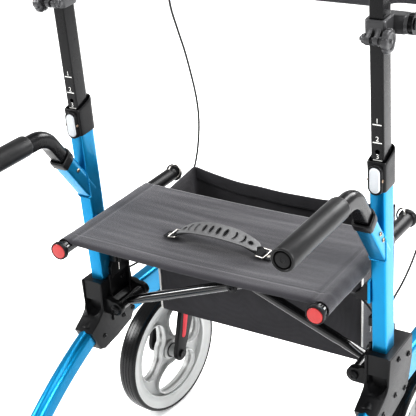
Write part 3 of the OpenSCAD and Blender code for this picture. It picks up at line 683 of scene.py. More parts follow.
def assist_handle(word, side):
    """Bent tube with its ferrule, and the foam grip with a recessed end plug."""
    bend_r = 50.0
    half = math.tan(math.radians(RISE / 2))
    foot = 115 / math.sin(math.radians(RISE)) - bend_r * half
    level = post_y(60) - 115 / math.tan(math.radians(RISE)) - bend_r * half + 164
    section = [(x, y - 11, 0) for x, y in bullet(22, 26, 2.5)]
    steps = [(SOCKET @ shift(0, 0, z)) for z in (20, 60, foot)]
    arc = SOCKET @ shift(0, -bend_r, foot)
    for k in range(1, 19):
        steps.append(arc @ Matrix.Rotation(math.radians(RISE * k / 18), 4, "X") @ shift(0, bend_r, 0))
    steps.append(steps[-1] @ shift(0, 0, level))
    shell = loft([[m @ Vector(p) for p in section] for m in steps])
    fer = bullet(30, 34, 4.5)
    ferrule = loft([[(x * k, (y - 17) * k + 1, z) for x, y in fer] for k, z in
                    ((0.90, 68), (0.97, 68.6), (1, 70), (1, 82), (0.97, 84.2), (0.9, 85.0), (0.8, 84.6),
                     (0.78, 80))])
    piece(f"{word}_assist_shell", shell, M["black_paint"], f"{word}_frame", side,
          replaces=f"{word}_assist_tube", angle=40)
    piece(f"{word}_ferrule", placed(ferrule, SOCKET), M["plastic"], f"{word}_frame", side, angle=50)
    y0, y1, z = -172.0, -7.0, 177.0
    prof = [(y0 + 1.6, 12.4), (y0 + 0.5, 13.2), (y0, 14.2), (y0 + 0.3, 15.4), (y0 + 1.4, 16.5),
            (y0 + 3.2, 17), (y0 + 60, 17.1), (y0 + 120, 17.05), (y1 - 5, 17), (y1 - 2, 16.3),
            (y1 - 0.5, 15.2), (y1, 13.6), (y1, 11)]
    geo = turned(prof, "y", (POST_X, 0, z), 64, caps=(False, True))
    foam = piece(f"{word}_foam", geo, M["foam"], f"{word}_frame", side,
                 replaces=f"{word}_assist_grip", angle=50)
    plug = turned([(y0 + 1.4, 12.6), (y0 + 1.4, 10.6), (y0 + 2.2, 10.2), (y0 + 2.2, 9.2), (y0 + 1.2, 8.8),
                   (y0 + 0.9, 3.2), (y0 + 1.5, 2.7), (y0 + 1.4, 0.01)], "y", (POST_X, 0, z), 40)
    piece(f"{word}_end_plug", plug, M["plastic"], f"{word}_frame", side, angle=30)


def leg_matrix(a):
    """Frame on the rear leg's arc, a degrees from its top end: x across, y out, z along."""
    foot, end, bend = (97.0, -223.0), REAR_AXLE, 28.0
    chord = math.dist(foot, end)
    slope = math.degrees(math.atan2(foot[1] - end[1], foot[0] - end[0]))
    radius = chord / (2 * math.sin(math.radians(bend / 2)))
    start = math.radians(180 + slope - bend / 2)
    centre = (foot[0] - radius * math.sin(start), foot[1] + radius * math.cos(start))
    b = start - math.pi / 2 + math.radians(a)
    at = (POST_X, centre[0] + radius * math.cos(b), centre[1] + radius * math.sin(b))
    out = Vector((0, math.cos(b), math.sin(b)))
    along = Vector((0, -math.sin(b), math.cos(b)))
    m = Matrix((Vector((1, 0, 0)), out, along)).transposed().to_4x4()
    m.translation = at
    return m


def stadium(w, h, n=10):
    return rounded(w, h, w / 2 - 0.01, n)


def rear_leg(word, side):
    out = stadium(26, 40)
    rings = [[leg_matrix(a) @ Vector((x, y, 0)) for x, y in out] for a in
             [-2 + 29.4 * k / 28 for k in range(29)]]
    boss = turned([(-13, 20), (-12.2, 21), (12.2, 21), (13, 20)], "x", (POST_X, *REAR_AXLE), 48)
    piece(f"{word}_leg_tube", merged(loft(rings), boss), M["blue"], f"{word}_frame", side,
          replaces=f"{word}_rear_leg", angle=40)


def outer_side(z):
    """The junction narrows towards its foot."""
    return 292.5 - 7.5 * max(0.0, min(1.0, (-150 - z) / 100))


def junction(word, side):
    """Moulded junction: post pocket, scooped rear panel, leg collar, hinge lugs and a ribbed recess."""
    body = f"{word}_frame"
    curve = [(116, -129.6), (116, -178), (112, -187), (101, -196), (88, -203), (77.4, -209.5)]
    outline = curve + [(98.6, -252.6), (112, -257.5), (150, -252), (196, -241), (206, -226),
                       (211, -176), (205, -129.6)]
    main = placed(plate([outline], 43, 1.8, 3), shift(271, 0, 0) @ SIDE_PLANE)
    main = ([Vector((outer_side(p[2]) + p[0] - 292.5, p[1], p[2])) if p[0] > 280 else Vector(p)
             for p in main[0]], main[1])
    pocket = placed(prism([(x, y) for x, y in bullet(24.6, 40.6, 3)], -6, 30), POST)
    scoop_shape = [(17.2, -11), (-17.2, -11)]
    scoop_shape += [(17.2 * math.cos(math.radians(a)), 17.2 * math.sin(math.radians(a))) for a in
                    range(176, -1, -8)]
    scoop = placed(loft([[(x * k, y * k, z) for x, y in scoop_shape] for z, k in
                         ((-14, 1.02), (2, 1.0), (12, 0.97), (20, 0.86), (25, 0.7))]),
                   shift(271, 101, -176) @ Matrix.Rotation(-math.pi / 2, 4, "X"))
    flat_top = placed(box(-17.2, 17.2, -12, 0, -30, 26), shift(271, 118.4, -150))
    recess = box(243, 254, 144, 196, -170, -118)
    leg_hole = loft([[leg_matrix(a) @ Vector((x, y, 0)) for x, y in stadium(26.4, 40.4)]
                     for a in (-2, 6)])
    arm_hole = placed(prism(rounded(26.4, 56.4, 8), 190, 240),
                      shift(POST_X, 0, -210.5) @ Matrix.Rotation(-math.pi / 2, 4, "X"))
    solid = cut(main, pocket, flat_top, scoop, recess, leg_hole, arm_hole)
    piece(f"{word}_junction_body", solid, M["plastic"], body, side, bevel=0.7, angle=40,
          replaces=f"{word}_junction")
    extra = []
    # collar round the leg
    lip = stadium(33, 47)
    hole = stadium(27, 41)
    rings = []
    for a, g, o in ((-1.2, 0.98, lip), (0.1, 1.0, lip), (0.42, 0.99, lip), (0.5, 0.965, lip),
                    (0.5, 1.02, hole), (0.2, 1.0, hole)):
        rings.append([leg_matrix(a) @ Vector((x * g, y * g, 0)) for x, y in o])
    extra.append(loft(rings))
    # raised housing in front of the post on the inner side, with the cable's slot
    house = placed(plate([[(150, -131), (150, -112), (158, -101), (186, -101), (204, -119), (205, -131)]],
                         15, 1.2), shift(256.5, 0, 0) @ SIDE_PLANE)
    slot_cut = box(252, 260, 164, 180, -108, -90)
    extra.append(cut(house, slot_cut))
    # ribs down the inner face and hinge lugs
    for y in (141.5, 198.5):
        extra.append(placed(plate([rounded(3.2, 92, 1.2)], 4.4, 0.8), shift(248.6, y, -168)
                            @ SIDE_PLANE))
    for y, t in ((124, 11.6), (200.4, 11.6)):
        lug = [(13 * math.cos(math.radians(a)), 13 * math.sin(math.radians(a)))
               for a in range(90, 271, 12)] + [(24, -13), (24, 17), (14, 17), (6, 13)]
        extra.append(placed(plate([lug], t, 1.1), shift(PIVOT[0], y + t / 2, PIVOT[1])
                            @ Matrix.Rotation(math.pi / 2, 4, "X")))
    pin = turned([(119, 6), (119.6, 7.2), (121, 8), (124, 8), (124, 4.9), (212, 4.9), (212, 8), (215.6, 8),
                  (217, 7)], "y", (PIVOT[0], 0, PIVOT[1]), 32)
    extra.append(pin)
    piece(f"{word}_junction_trim", merged(*extra), M["plastic"], body, side, bevel=0.6, angle=35)
    heads = [screw((249.4, y, z), (-1, 0, 0), 4.6, 2.0) for y, z in
             ((174, -222), (113, -232), (203, -221))]
    heads += [screw((253.8, y, z), (-1, 0, 0), 4.4, 2.2) for y, z in ((158, -132), (184, -146))]
    heads += [screw((outer_side(z), y, z), (1, 0, 0), 4.8, 2.2) for y, z in
              ((150, -146), (150, -214), (192, -160), (192, -226), (104, -222))]
    heads.append(screw((PIVOT[0], 119.2, PIVOT[1]), (0, -1, 0), 5.2, 1.6))
    piece(f"{word}_junction_screws", merged(*heads), M["black_steel"], body, side)


# ---- Wheels ----

def wheel(word, side, front):
    """Tyre with fine grooves, and a rim with three deep U-shaped spokes between rounded windows."""
    at = Vector((POST_X, *AXLE)) if front else Vector((REAR_X, *REAR_AXLE))
    r, width, body = (127.0, 38.0, f"{word}_front_wheel") if front else (101.5, 32.0, f"{word}_rear_wheel")
    name = f"{word}_{'front' if front else 'rear'}"
    place = (caster(side) if front else Matrix.Identity(4)) @ Matrix.Translation(at)
    half = width / 2
    # tyre: a shallow crown with grooves; seg points across, then the bead side back inside
    prof = [(-half + 0.6, r - 6.5), (-half, r - 4.6), (-half + 0.8, r - 2.8), (-half + 2.6, r - 1.5)]
    steps = 8
    for k in range(steps + 1):
        x = (-half + 4.4) + (width - 8.8) * k / steps
        crown = 1.2 * (x / half) ** 2
        prof += [(x - 0.55, r - crown)]
        if 0 < k < steps and k % 2 == 0:
            prof += [(x - 0.35, r - crown - 0.6), (x + 0.35, r - crown - 0.6), (x + 0.55, r - crown)]
    prof += [(half - 2.6, r - 1.5), (half - 0.8, r - 2.8), (half, r - 4.6), (half - 0.6, r - 6.5)]
    tread = lathe(prof + [(half - 2, r - 8), (-half + 2, r - 8)], 120, closed=True)
    piece(f"{name}_tread", placed(tread, place), M["tyre"], body, side, replaces=f"{name}_tyre",
          angle=30)
    # rim: lip, barrel and flange
    o = r - 5.2
    ri = r * 0.76
    hub = 21.0 if front else 18.0
    x0 = half - 1.2
    lips = []
    for s in (-1, 1):
        lips += [lathe([(s * x0 * 0.2, o), (s * (x0 - 0.4), o), (s * x0, o - 0.8), (s * x0, o - 2.4),
                        (s * (x0 - 0.9), o - 3.6), (s * (x0 - 1.6), o - 8), (s * (x0 - 3.4), (o + ri) / 2),
                        (s * (x0 - 5.2), ri + 7.0), (s * (x0 - 5.0), ri + 4.0),
                        (s * (x0 - 3.6), ri + 1.6), (s * (x0 - 4.4), ri), (s * x0 * 0.2, ri - 0.6)], 120,
                       caps=(False, False))]
    web = window_plate(ri + 3.0, hub, (x0 - 6) * 2)
    hub_end = (52 if front else 37) / 2
    hub_geo = lathe([(-hub_end, 5.2), (-hub_end, 10), (-hub_end + 1, 11), (-12, 12), (-11.4, hub - 4),
                     (-9, hub - 1), (9, hub - 1), (11.4, hub - 4), (12, 12), (hub_end - 1, 11),
                     (hub_end, 10), (hub_end, 5.2)], 48, caps=(False, False))
    piece(f"{name}_rim_shell", placed(merged(*lips, hub_geo, *web), place), M["rim"], body, side,
          replaces=f"{name}_rim", angle=32)
    # thin black sheets inside the hub's recess: painted shade for the dark hole in the hub
    painted_hub_shade = [lathe([(s * 12.2, 0.01), (s * 12.2, 9.6), (s * 11.9, hub - 5.5)], 40,
                   caps=(False, False)) for s in (-1, 1)]
    piece(f"{name}_hub_painted_shade", placed(merged(*painted_hub_shade), place), M["plastic"], body, side)


def window_plate(ro, hub, depth):
    """Three spokes with rounded windows between; each window has a raised inner rim."""
    inner, outer = hub + 9, ro - 7.5
    mid, wide = (inner + outer) / 2, (outer - inner) / 2
    swing = math.radians(24)
    # a bean: outer arc, round end, inner arc, round end
    outline = []
    for k in range(25):
        a = -swing + 2 * swing * k / 24
        outline.append((outer * math.sin(a), outer * math.cos(a)))
    for k in range(1, 12):
        b = math.pi / 2 - math.pi * k / 12
        rr, da = mid + wide * math.sin(b), wide * math.cos(b) * 0.94 / mid
        outline.append((rr * math.sin(swing + da), rr * math.cos(swing + da)))
    for k in range(25):
        a = swing - 2 * swing * k / 24
        outline.append((inner * math.sin(a), inner * math.cos(a)))
    for k in range(1, 12):
        b = -math.pi / 2 + math.pi * k / 12
        rr, da = mid + wide * math.sin(b), wide * math.cos(b) * 0.94 / mid
        outline.append((rr * math.sin(-swing - da), rr * math.cos(-swing - da)))
    outline = outline[::-1]

    def turned_outline(o, deg, grow=0.0):
        c, s = math.cos(math.radians(deg)), math.sin(math.radians(deg))
        cx = sum(p[0] for p in o) / len(o)
        cy = sum(p[1] for p in o) / len(o)
        out = []
        for x, y in o:
            d = math.hypot(x - cx, y - cy)
            k = (d + grow) / d
            x, y = cx + (x - cx) * k, cy + (y - cy) * k
            out.append((x * c - y * s, x * s + y * c))
        return out
    disc = circle(ro, 96)
    turns = (-50, 70, 190)
    windows = [turned_outline(outline, d) for d in turns]
    bore = circle(hub - 6, 32)
    geos = [placed(plate([disc, bore, *windows], depth * 0.34, 1.0), SIDE_PLANE)]
    for w in turns:
        big, small = turned_outline(outline, w, 2.6), turned_outline(outline, w, 0.0)
        geos.append(placed(plate([big, small], depth, 1.1), SIDE_PLANE))
    return geos


def fork(word, side):
    """Two flat legs with rounded ends, each with a red inlay, under a moulded crown."""
    turn = caster(side)
    geos = []
    y, z = AXLE
    leg = [(348, -250), (396, -250), (395, -268), (392, -290), (y + 15, z + 8)]
    leg += [(y + 15 * math.cos(a), z + 15 * math.sin(a)) for a in
            [math.radians(-k) for k in range(0, 181, 15)]]
    leg += [(y - 15, z + 8), (343, -290), (343, -262)]
    for x in (-32, 32):
        geos.append(placed(plate([leg], 10, 2.0, 3), turn @ shift(POST_X + x, 0, 0) @ SIDE_PLANE))
    crown = placed(plate([rounded(74, 46, 8)], 15, 2.5, 3), turn @ shift(POST_X, 370, -254.8))
    stem = placed(turned([(-248, 20), (-247.3, 16), (-180, 8)], "z", (0, 0, 0), 32),
                  turn @ shift(POST_X, 378, 0))
    piece(f"{word}_fork_shell", merged(*geos, crown, stem), M["plastic"], f"{word}_caster", side,
          replaces=f"{word}_fork", angle=40)
    inlay = []
    for k in range(13):
        a = math.radians(180 * k / 12)
        inlay.append((6.0 * math.cos(a + math.pi), -6.0 * math.sin(a)))
    stripe = [(-8.4, 84), *inlay, (8.4, 84)]
    lean = Matrix.Rotation(math.radians(-13), 4, "X")
    reds = [placed(plate([stripe], 1.0, 0.4), turn @ shift(POST_X + x, 343, -352) @ lean @ SIDE_PLANE)
            for x in (-37, 37)]
    piece(f"{word}_fork_inlay", merged(*reds), M["inlay"], f"{word}_caster", side)
    heads = [placed(screw((POST_X + x, y, z), (x, 0, 0), 7.5, 3.4), turn) for x in (-37.2, 37.2)]
    piece(f"{word}_axle_heads", merged(*heads), M["black_steel"], f"{word}_caster", side)


# ---- Folding cross ----

def brace_looks():
    """Round brace tubes with pressed flat lower ends, barrels, seat tubes and the crossing bolt."""
    run_x, rise = TUBE_X + PIVOT[0], -PIVOT[1]
    length = math.hypot(run_x, rise)
    tilt = math.atan2(rise, run_x)
    for name, foot, y, body in (("rear_brace", -1, 157, "rear_cross"),
                                ("front_brace", 1, 179, "front_cross")):
        rings = []
        for k in range(41):
            t = k / 40
            d = 2 + (length - 12) * t
            flat_part = max(0.0, 1 - d / 34)
            grow = flat_part ** 0.6 if flat_part > 0 else 0
            ry, rz = 9 * (1 + 0.30 * grow), 9 * (1 - 0.42 * grow)
            pinch = 1 - 0.12 * math.exp(-((d - 46) / 7) ** 2)
            ring = []
            for q in range(28):
                a = 2 * math.pi * q / 28
                u, v = rz * pinch * math.cos(a), ry * pinch * math.sin(a)
                x = PIVOT[0] * foot + (-foot) * (d * math.cos(tilt) - u * math.sin(tilt))
                ring.append((x, y + v, PIVOT[1] + d * math.sin(tilt) + u * math.cos(tilt)))
            rings.append(ring)
        barrel = turned([(136.3, 9), (137, 10), (199, 10), (199.7, 9)], "y",
                        (PIVOT[0] * foot, 0, PIVOT[1]), 32)
        seat = turned([(0, 10.4), (0.6, 11), (334, 11), (334.6, 10.4)], "y", (-TUBE_X * foot, 0, 0), 48)
        piece(f"{name}_tubes", merged(loft(rings), barrel, seat), M["black_gloss"], body, 1,
              replaces=name, angle=45)
    washer = turned([(147.4, 9.6), (146.2, 10.2), (144.8, 9.8), (144.2, 8), (143.8, 6.4),
                     (143.4, 6.2)], "y", (0, 0, CROSS_Z), 32)
    nut = turned([(188.6, 9), (191.4, 9), (193.6, 6)], "y", (0, 0, CROSS_Z), 6)
    bolt = screw((0, 143.6, CROSS_Z), (0, -1, 0), 5.4, 2.6)
    piece("cross_bolt", merged(washer, nut, bolt), M["plastic"], "rear_cross", 1)


def tube_ends(word, side):
    """Reflector plug at the rear and a mushroom cap at the front of each seat tube."""
    body = "rear_cross" if side > 0 else "front_cross"
    red = turned([(-8.6, 0.01), (-8.5, 8), (-8.1, 12), (-7.0, 13.0), (-3, 13.1)], "y", TUBE_CENTRE, 48,
                 caps=(False, True))
    piece(f"{word}_reflector", red, M["red"], body, side, replaces=f"{word}_tube_caps")
    rim = turned([(-7.4, 12.9), (-8.2, 13.7), (-7.8, 14.6), (-6, 15.0), (-1, 15.0), (0.4, 14.2),
                  (2.6, 11.2)], "y", TUBE_CENTRE, 48, caps=(False, False))
    cap = turned([(254, 11.1), (254.8, 11.9), (330.5, 12.4), (332, 14.6), (334.6, 15.8), (338, 15.9),
                  (341, 14.6), (343, 11), (343.6, 6), (343.8, 0.01)], "y", TUBE_CENTRE, 64,
                 caps=(True, False))
    piece(f"{word}_tube_trim", merged(rim, cap), M["plastic"], body, side)
    hook = tube(smooth_line([(TUBE_X, 322, 11), (226, 326, 17), (220, 331, 19), (213, 333, 13), (211, 331, 4),
                             (216, 328, -4)], 5), 1.6, 8)
    piece(f"{word}_bag_hook", hook, M["steel"], body, side)


# ---- Cloth ----

def wobble(x, y, sx, sy, seed=0.0):
    return noise.noise(Vector((x / sx + seed, y / sy - seed, seed * 0.37)))


CLOTH_Y = (12.0, 252.0)


def seat_height(x, y):
    """Top of the sling between its sleeves: a shallow sag, tension folds and a doubled rear hem."""
    u = x / TUBE_X
    v = (y - CLOTH_Y[0]) / (CLOTH_Y[1] - CLOTH_Y[0])
    z = 12.2 - 5.0 * (1 - u * u) ** 1.2 * (0.75 + 0.25 * math.sin(math.pi * v))
    z += 1.3 * wobble(x, y, 210, 26, 3.1) * (1 - u ** 4)
    z += 0.7 * wobble(x + 0.4 * y, y, 90, 11, 7.7) * (1 - u ** 4)
    for hx in (-70, 86):  # puckers round the strap's anchors
        d = math.hypot((x - hx) / 30, (y - 100) / 16)
        z += 1.6 * math.exp(-d * d) * math.cos(3.4 * d)
    z -= 1.3 * math.exp(-((abs(x) - 216) / 2.6) ** 2)  # seam of the sleeve
    edge = max(0.0, y - CLOTH_Y[0])
    z += 0.9 / (1 + math.exp((edge - 25) / 0.9))  # hem
    z -= 1.1 * math.exp(-((edge - 22.6) / 1.6) ** 2)
    z -= 1.6 * math.exp(-edge / 2.2)
    return z


def sling():
    """Doubled cloth: sleeves round both seat tubes, the sagging middle and its lockstitch rows."""
    prof = []
    wrap, r = 26, 12.5
    for k in range(wrap + 1):  # from the tuck under the left tube, over it, to its top
        a = math.radians(-48 + (90 + 48) * k / wrap)
        prof.append((-TUBE_X - r * math.cos(a), r * math.sin(a), True))
    n = 150
    for k in range(1, n):
        prof.append((-TUBE_X + 2 * TUBE_X * k / n, None, False))
    prof += [(-x, z, w) for x, z, w in reversed(prof[:wrap + 1])]
    rows = 96
    lip = [(CLOTH_Y[0] - 0.2 * d, d) for d in (4.4, 3.4, 2.4, 1.2)]
    lines = lip + [(CLOTH_Y[0] + (CLOTH_Y[1] - CLOTH_Y[0]) * k / rows, 0.0) for k in range(rows + 1)]
    pts, faces = [], []
    for y, drop in lines:
        edge = y - CLOTH_Y[0]
        for x, z, wrapped in prof:
            if wrapped:
                puff = 0.6 * wobble(z * 3, y, 30, 18, 1.7) + 0.5 / (1 + math.exp((edge - 25) / 0.9))
                side = 1 if x > 0 else -1
                cx = x - side * TUBE_X
                d = math.hypot(cx, z)
                pts.append((side * TUBE_X + cx * (d + puff) / d, y, z * (d + puff) / d))
            else:
                blend = min(1, (TUBE_X - abs(x)) / 7)
                base = seat_height(x, y) - drop * max(0.0, min(1.0, (222 - abs(x)) / 12))
                pts.append((x, y, base * blend + 12.5 * (1 - blend)))
    m = len(prof)
    for j in range(len(lines) - 1):
        for i in range(m - 1):
            faces.append((j * m + i, j * m + i + 1, (j + 1) * m + i + 1, (j + 1) * m + i))
    ob = piece("sling_cloth", (pts, faces), M["seat"], None, 1, replaces="seat_sling",
               angle=180)
    if ob.data.polygons[len(faces) // 2].normal.z < 0:
        ob.data.flip_normals()
    sol = ob.modifiers.new("cloth", "SOLIDIFY")
    sol.thickness, sol.offset = 1.3 * MM, -1
    bpy.context.view_layer.update()
    ob.data = bpy.data.meshes.new_from_object(ob.evaluated_get(bpy.context.evaluated_depsgraph_get()))
    ob.modifiers.clear()
    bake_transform(ob)
    # lockstitch rows: hem front and rear, and both sleeve seams
    stitches = []
    def stitch(x0, y0, x1, y1):
        z0, z1 = seat_height(x0, y0) + 0.35, seat_height(x1, y1) + 0.35
        mid = ((x0 + x1) / 2, (y0 + y1) / 2, (z0 + z1) / 2 + 0.25)
        stitches.append(tube([(x0, y0, z0 - 0.4), mid, (x1, y1, z1 - 0.4)], [0.2, 0.42, 0.2], 5,
                             (0, 0.3, 1)))
    for y in (33.0, 36.4, 228.0):
        for k in range(-48, 48):
            stitch(k * 4.1 + 0.4, y, k * 4.1 + 3.3, y)
    for x in (-216, 216):
        for k in range(55):
            stitch(x, 16 + 4.2 * k, x, 19 + 4.2 * k)
    thread = piece("sling_stitching", merged(*stitches), M["thread"], None, 1)
    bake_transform(thread)


def strap_handle():
    """Webbing under a moulded grip with cut-outs, between two wire rings."""
    x0, x1, lift = -70.0, 86.0, 25.0
    half = (x1 - x0) / 2
    mid = (x0 + x1) / 2
    R = (half * half + lift * lift) / (2 * lift)
    base = 16.0
    span_half = math.asin(half / R) * R

    def bend(geo, raise_by):
        """Wraps a plate drawn along x onto the strap's arc."""
        out = []
        for p in geo[0]:
            a = p[0] / R
            rr = R + p[2] + raise_by
            up = lift - R + rr * math.cos(a)
            lean = math.radians(17) * math.cos(math.pi / 2 * min(1, abs(p[0]) / span_half))
            out.append((mid + rr * math.sin(a), 100 + p[1] * math.cos(lean) - up * math.sin(lean),
                        base + up * math.cos(lean) + p[1] * math.sin(lean)))
        return out, geo[1]

    def dense(w, length, t):
        n = 40
        rings = []
        for k in range(n + 1):
            x = -length / 2 + length * k / n
            rings.append([(x, y, z) for y, z in rounded(w, t, t * 0.45, 3)])
        return loft(rings)

    span = 2 * span_half
    web = dense(24, span + 4, 1.6)
    made = [piece("strap_webbing", bend(web, 0), M["webbing"], "seat", 1, replaces="seat_handle")]
    # grip plate: barrel outline with notches at its tails, a row of holes and crescents
    L = span * 0.42
    outline = []
    for k in range(41):
        t = -1 + 2 * k / 40
        outline.append((L * t, 15.4 - 3.6 * abs(t) ** 3))
    outline += [(L * 1.08, 7.5), (L * 1.02, 0), (L * 1.08, -7.5)]
    outline += [(x, -y) for x, y in reversed(outline[:41])]
    outline += [(-L * 1.08, -7.5), (-L * 1.02, 0), (-L * 1.08, 7.5)]
    holes = []
    for s in (-1, 1):
        holes.append([(s * L * 0.86 + x, y) for x, y in circle(4.8, 20)])
        for cx in (0.66, 0.46):
            cres = [(s * (L * cx + 5.2 * math.cos(a)), 10.6 * math.sin(a)) for a in
                    [math.radians(-80 + 160 * k / 12) for k in range(13)]]
            cres += [(s * (L * cx - 2.6 + 4.4 * math.cos(a)), 8.8 * math.sin(a)) for a in
                     [math.radians(72 - 144 * k / 12) for k in range(13)]]
            holes.append(cres)
    for cx in (-0.27, -0.09, 0.09, 0.27):
        holes.append([(L * cx + 3.5 * math.cos(a), 9.8 * math.sin(a)) for a in
                      [2 * math.pi * k / 24 for k in range(24)]])
    top = plate([outline, *holes], 2.4, 0.5)
    fine = subdivided(top, 5.0)
    made.append(piece("strap_grip", bend(fine, 2.4), M["grey"], "seat", 1, angle=40))
    rims = []
    for h in holes:
        cx = sum(p[0] for p in h) / len(h)
        inside = [(x + (cx - x) * 0.16, y * 0.84) for x, y in h]
        rims.append(subdivided(plate([h, inside], 3.4, 0.3), 5.0))
    made.append(piece("strap_grip_rims", bend(merged(*rims), 2.5), M["grey"], "seat", 1, angle=40))
    rings = []
    for x, s in ((x0, -1), (x1, 1)):
        w = 13.5
        corners = [(-3, -w, 17), (6.5, -w, 16.0), (8.0, -w + 2, 15.8), (8.0, w - 2, 15.8), (6.5, w, 16.0),
                   (-3, w, 17), (-4.5, w - 2, 17.4), (-4.5, -w + 2, 17.4), (-3, -w, 17)]
        loop = [(x + s * a, 100 + b, c) for a, b, c in corners]
        rings.append(tube(smooth_line(loop, 4), 1.25, 10, (0.1, 0.2, 1)))
        rings.append(turned([(-0.2, 4.2), (0.8, 4.0), (1.4, 2.6), (1.5, 0.01)], "z",
                            (x + s * 11, 100, 13.2), 24, caps=(True, False)))
    made.append(piece("strap_rings", merged(*rings), M["steel"], "seat", 1))
    tabs = []
    for x, s in ((x0, -1), (x1, 1)):
        tabs.append(placed(plate([rounded(20, 20, 2)], 1.2, 0.4), shift(x + s * 10, 100, 13.0)))
    made.append(piece("strap_tabs", merged(*tabs), M["webbing"], "seat", 1))
    for ob in made:
        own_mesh(ob)


def subdivided(geo, longest):
    """Splits long edges so that a plate can bend smoothly."""
    bm = bmesh.new()
    verts = [bm.verts.new(tuple(p)) for p in geo[0]]
    for f in geo[1]:
        try:
            bm.faces.new([verts[i] for i in f])
        except ValueError:
            pass
    bmesh.ops.remove_doubles(bm, verts=bm.verts, dist=1e-4)
    bmesh.ops.triangulate(bm, faces=bm.faces)
    for _ in range(4):
        long = [e for e in bm.edges if e.calc_length() > longest]
        if not long:
            break
        bmesh.ops.subdivide_edges(bm, edges=long, cuts=1)
        bmesh.ops.triangulate(bm, faces=[f for f in bm.faces if len(f.verts) > 3])
    bm.verts.index_update()
    out = ([v.co.copy() for v in bm.verts], [tuple(v.index for v in f.verts) for f in bm.faces])
    bm.free()
    return out


BAG = {"x": 200.0, "back": 222.0, "front": 362.0, "drop": 223.0}


def bag():
    """Thin cloth bag: walls that pull in, a soft bottom, a hemmed front edge that sags, white piping."""
    hx, hy = BAG["x"] - 1.0, (BAG["front"] - BAG["back"]) / 2 - 1.0
    cy = (BAG["front"] + BAG["back"]) / 2
    base = []
    corner = 7.0
    for x0, y0, x1, y1, n in ((-hx, -hy, hx, -hy, 64), (hx, -hy, hx, hy, 26), (hx, hy, -hx, hy, 64),
                              (-hx, hy, -hx, -hy, 26)):
        for k in range(n):
            t = k / n
            base.append((x0 + (x1 - x0) * t, y0 + (y1 - y0) * t))
    def soft(x, y):
        """Rounds the rectangle's corners a little."""
        dx, dy = max(0, abs(x) - (hx - corner)), max(0, abs(y) - (hy - corner))
        d = math.hypot(dx, dy)
        k = corner / d if d > corner else 1
        return (math.copysign(min(abs(x), hx - corner) + dx * k, x),
                math.copysign(min(abs(y), hy - corner) + dy * k, y))
    levels = 46
    rings = []
    for j in range(levels + 1):
        t = j / levels
        ring = []
        for x, y in base:
            u, v = x / hx, y / hy
            sx, sy = soft(x, y)
            # top edge: hooks at the front corners, a sagging front hem, sides running down to the rear
            front = (v + 1) / 2
            top = -5.0 + 13.5 * front ** 1.3
            if v > 0.97:
                top = 8.5 - 17 * (1 - u * u) ** 0.8 + 2.2 * wobble(x, 0, 60, 1, 4.0)
            z = -BAG["drop"] + 3 + (top + BAG["drop"] - 3) * t
            pull = math.sin(math.pi * t) ** 0.8
            fold = 4.0 * wobble(x, z * 0.4 + y, 62, 60, 2.2) + 1.8 * wobble(x + z * 0.3, z, 23, 60, 9.0)
            if abs(v) > 0.97:
                sy -= math.copysign(max(0.0, (5.5 - fold) * pull * (1 - u ** 4)), y)
            if abs(u) > 0.97:
                sx -= math.copysign(max(0.0, (7.0 - fold) * pull * (1 - v ** 4)), x)
            if t > 0.90 and v > 0.9:
                sy -= 1.5 * (t - 0.9) / 0.1 * (1 - u * u) * 3
            ring.append((sx, cy + sy, z))
        rings.append(ring)
    # bottom: rings shrink to a crowned, sagging sheet
    bottom = []
    for k in range(1, 12):
        g = 1 - k / 12
        ring = []
        for x, y in base:
            sx, sy = soft(x, y)
            droop = 1.6 * wobble(sx * g, sy * g, 60, 60, 5.5)
            ring.append((sx * g, cy + sy * g, -BAG["drop"] + 3 - 1.6 * (1 - g) + max(-1, min(1, droop))))
        bottom.append(ring)
    rings = bottom[::-1] + rings
    pts, faces = loft(rings, caps=(True, False))
    ob = piece("bag_cloth", (pts, faces), M["bag"], None, 1, replaces="bag", angle=70)
    sol = ob.modifiers.new("cloth", "SOLIDIFY")
    sol.thickness, sol.offset = 1.0 * MM, -1
    bpy.context.view_layer.update()
    ob.data = bpy.data.meshes.new_from_object(ob.evaluated_get(bpy.context.evaluated_depsgraph_get()))
    ob.modifiers.clear()
    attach(ob, "seat")
    fold = dict(axis=(1, 0, 0), anchor=(0, 0, 0), keep=0.25)
    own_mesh(ob)
    first = 11
    trim = []
    for i in (0, 64):  # piping down the rear corners
        line = [Vector(rings[first + j][i]) for j in range(0, levels)]
        cx = math.copysign(1.2, line[0].x)
        trim.append(tube([p + Vector((cx, -1.2, 0)) for p in line], 1.9, 8, (0, 1, 0.1)))
    white = piece("bag_piping", merged(*trim), M["piping"], "seat", 1)
    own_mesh(white)
    front_ids = range(64 + 26, 64 + 26 + 64)
    sheet_rings = []
    for i in front_ids:
        p = Vector(rings[-1][i])
        sheet_rings.append([p + Vector((0, dy, dz)) for dy, dz in
                            ((1.2, 0.6), (1.6, -4), (1.4, -22), (-1.8, -22.5), (-2.2, -4), (-1.4, 0.6))])
    band = piece("bag_hem", loft(sheet_rings), M["bag"], "seat", 1, angle=60)
    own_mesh(band)
    stitches = []
    for a, b in zip(sheet_rings, sheet_rings[1:]):
        for k in (0.1, 0.6):
            p = a[3].lerp(b[3], k) + Vector((0, -0.3, 2.5))
            q = a[3].lerp(b[3], k + 0.35) + Vector((0, -0.3, 2.5))
            stitches.append(tube([p, q], 0.35, 5, (0, 0.3, 1)))
    thread = piece("bag_stitching", merged(*stitches), M["thread"], "seat", 1)
    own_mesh(thread)


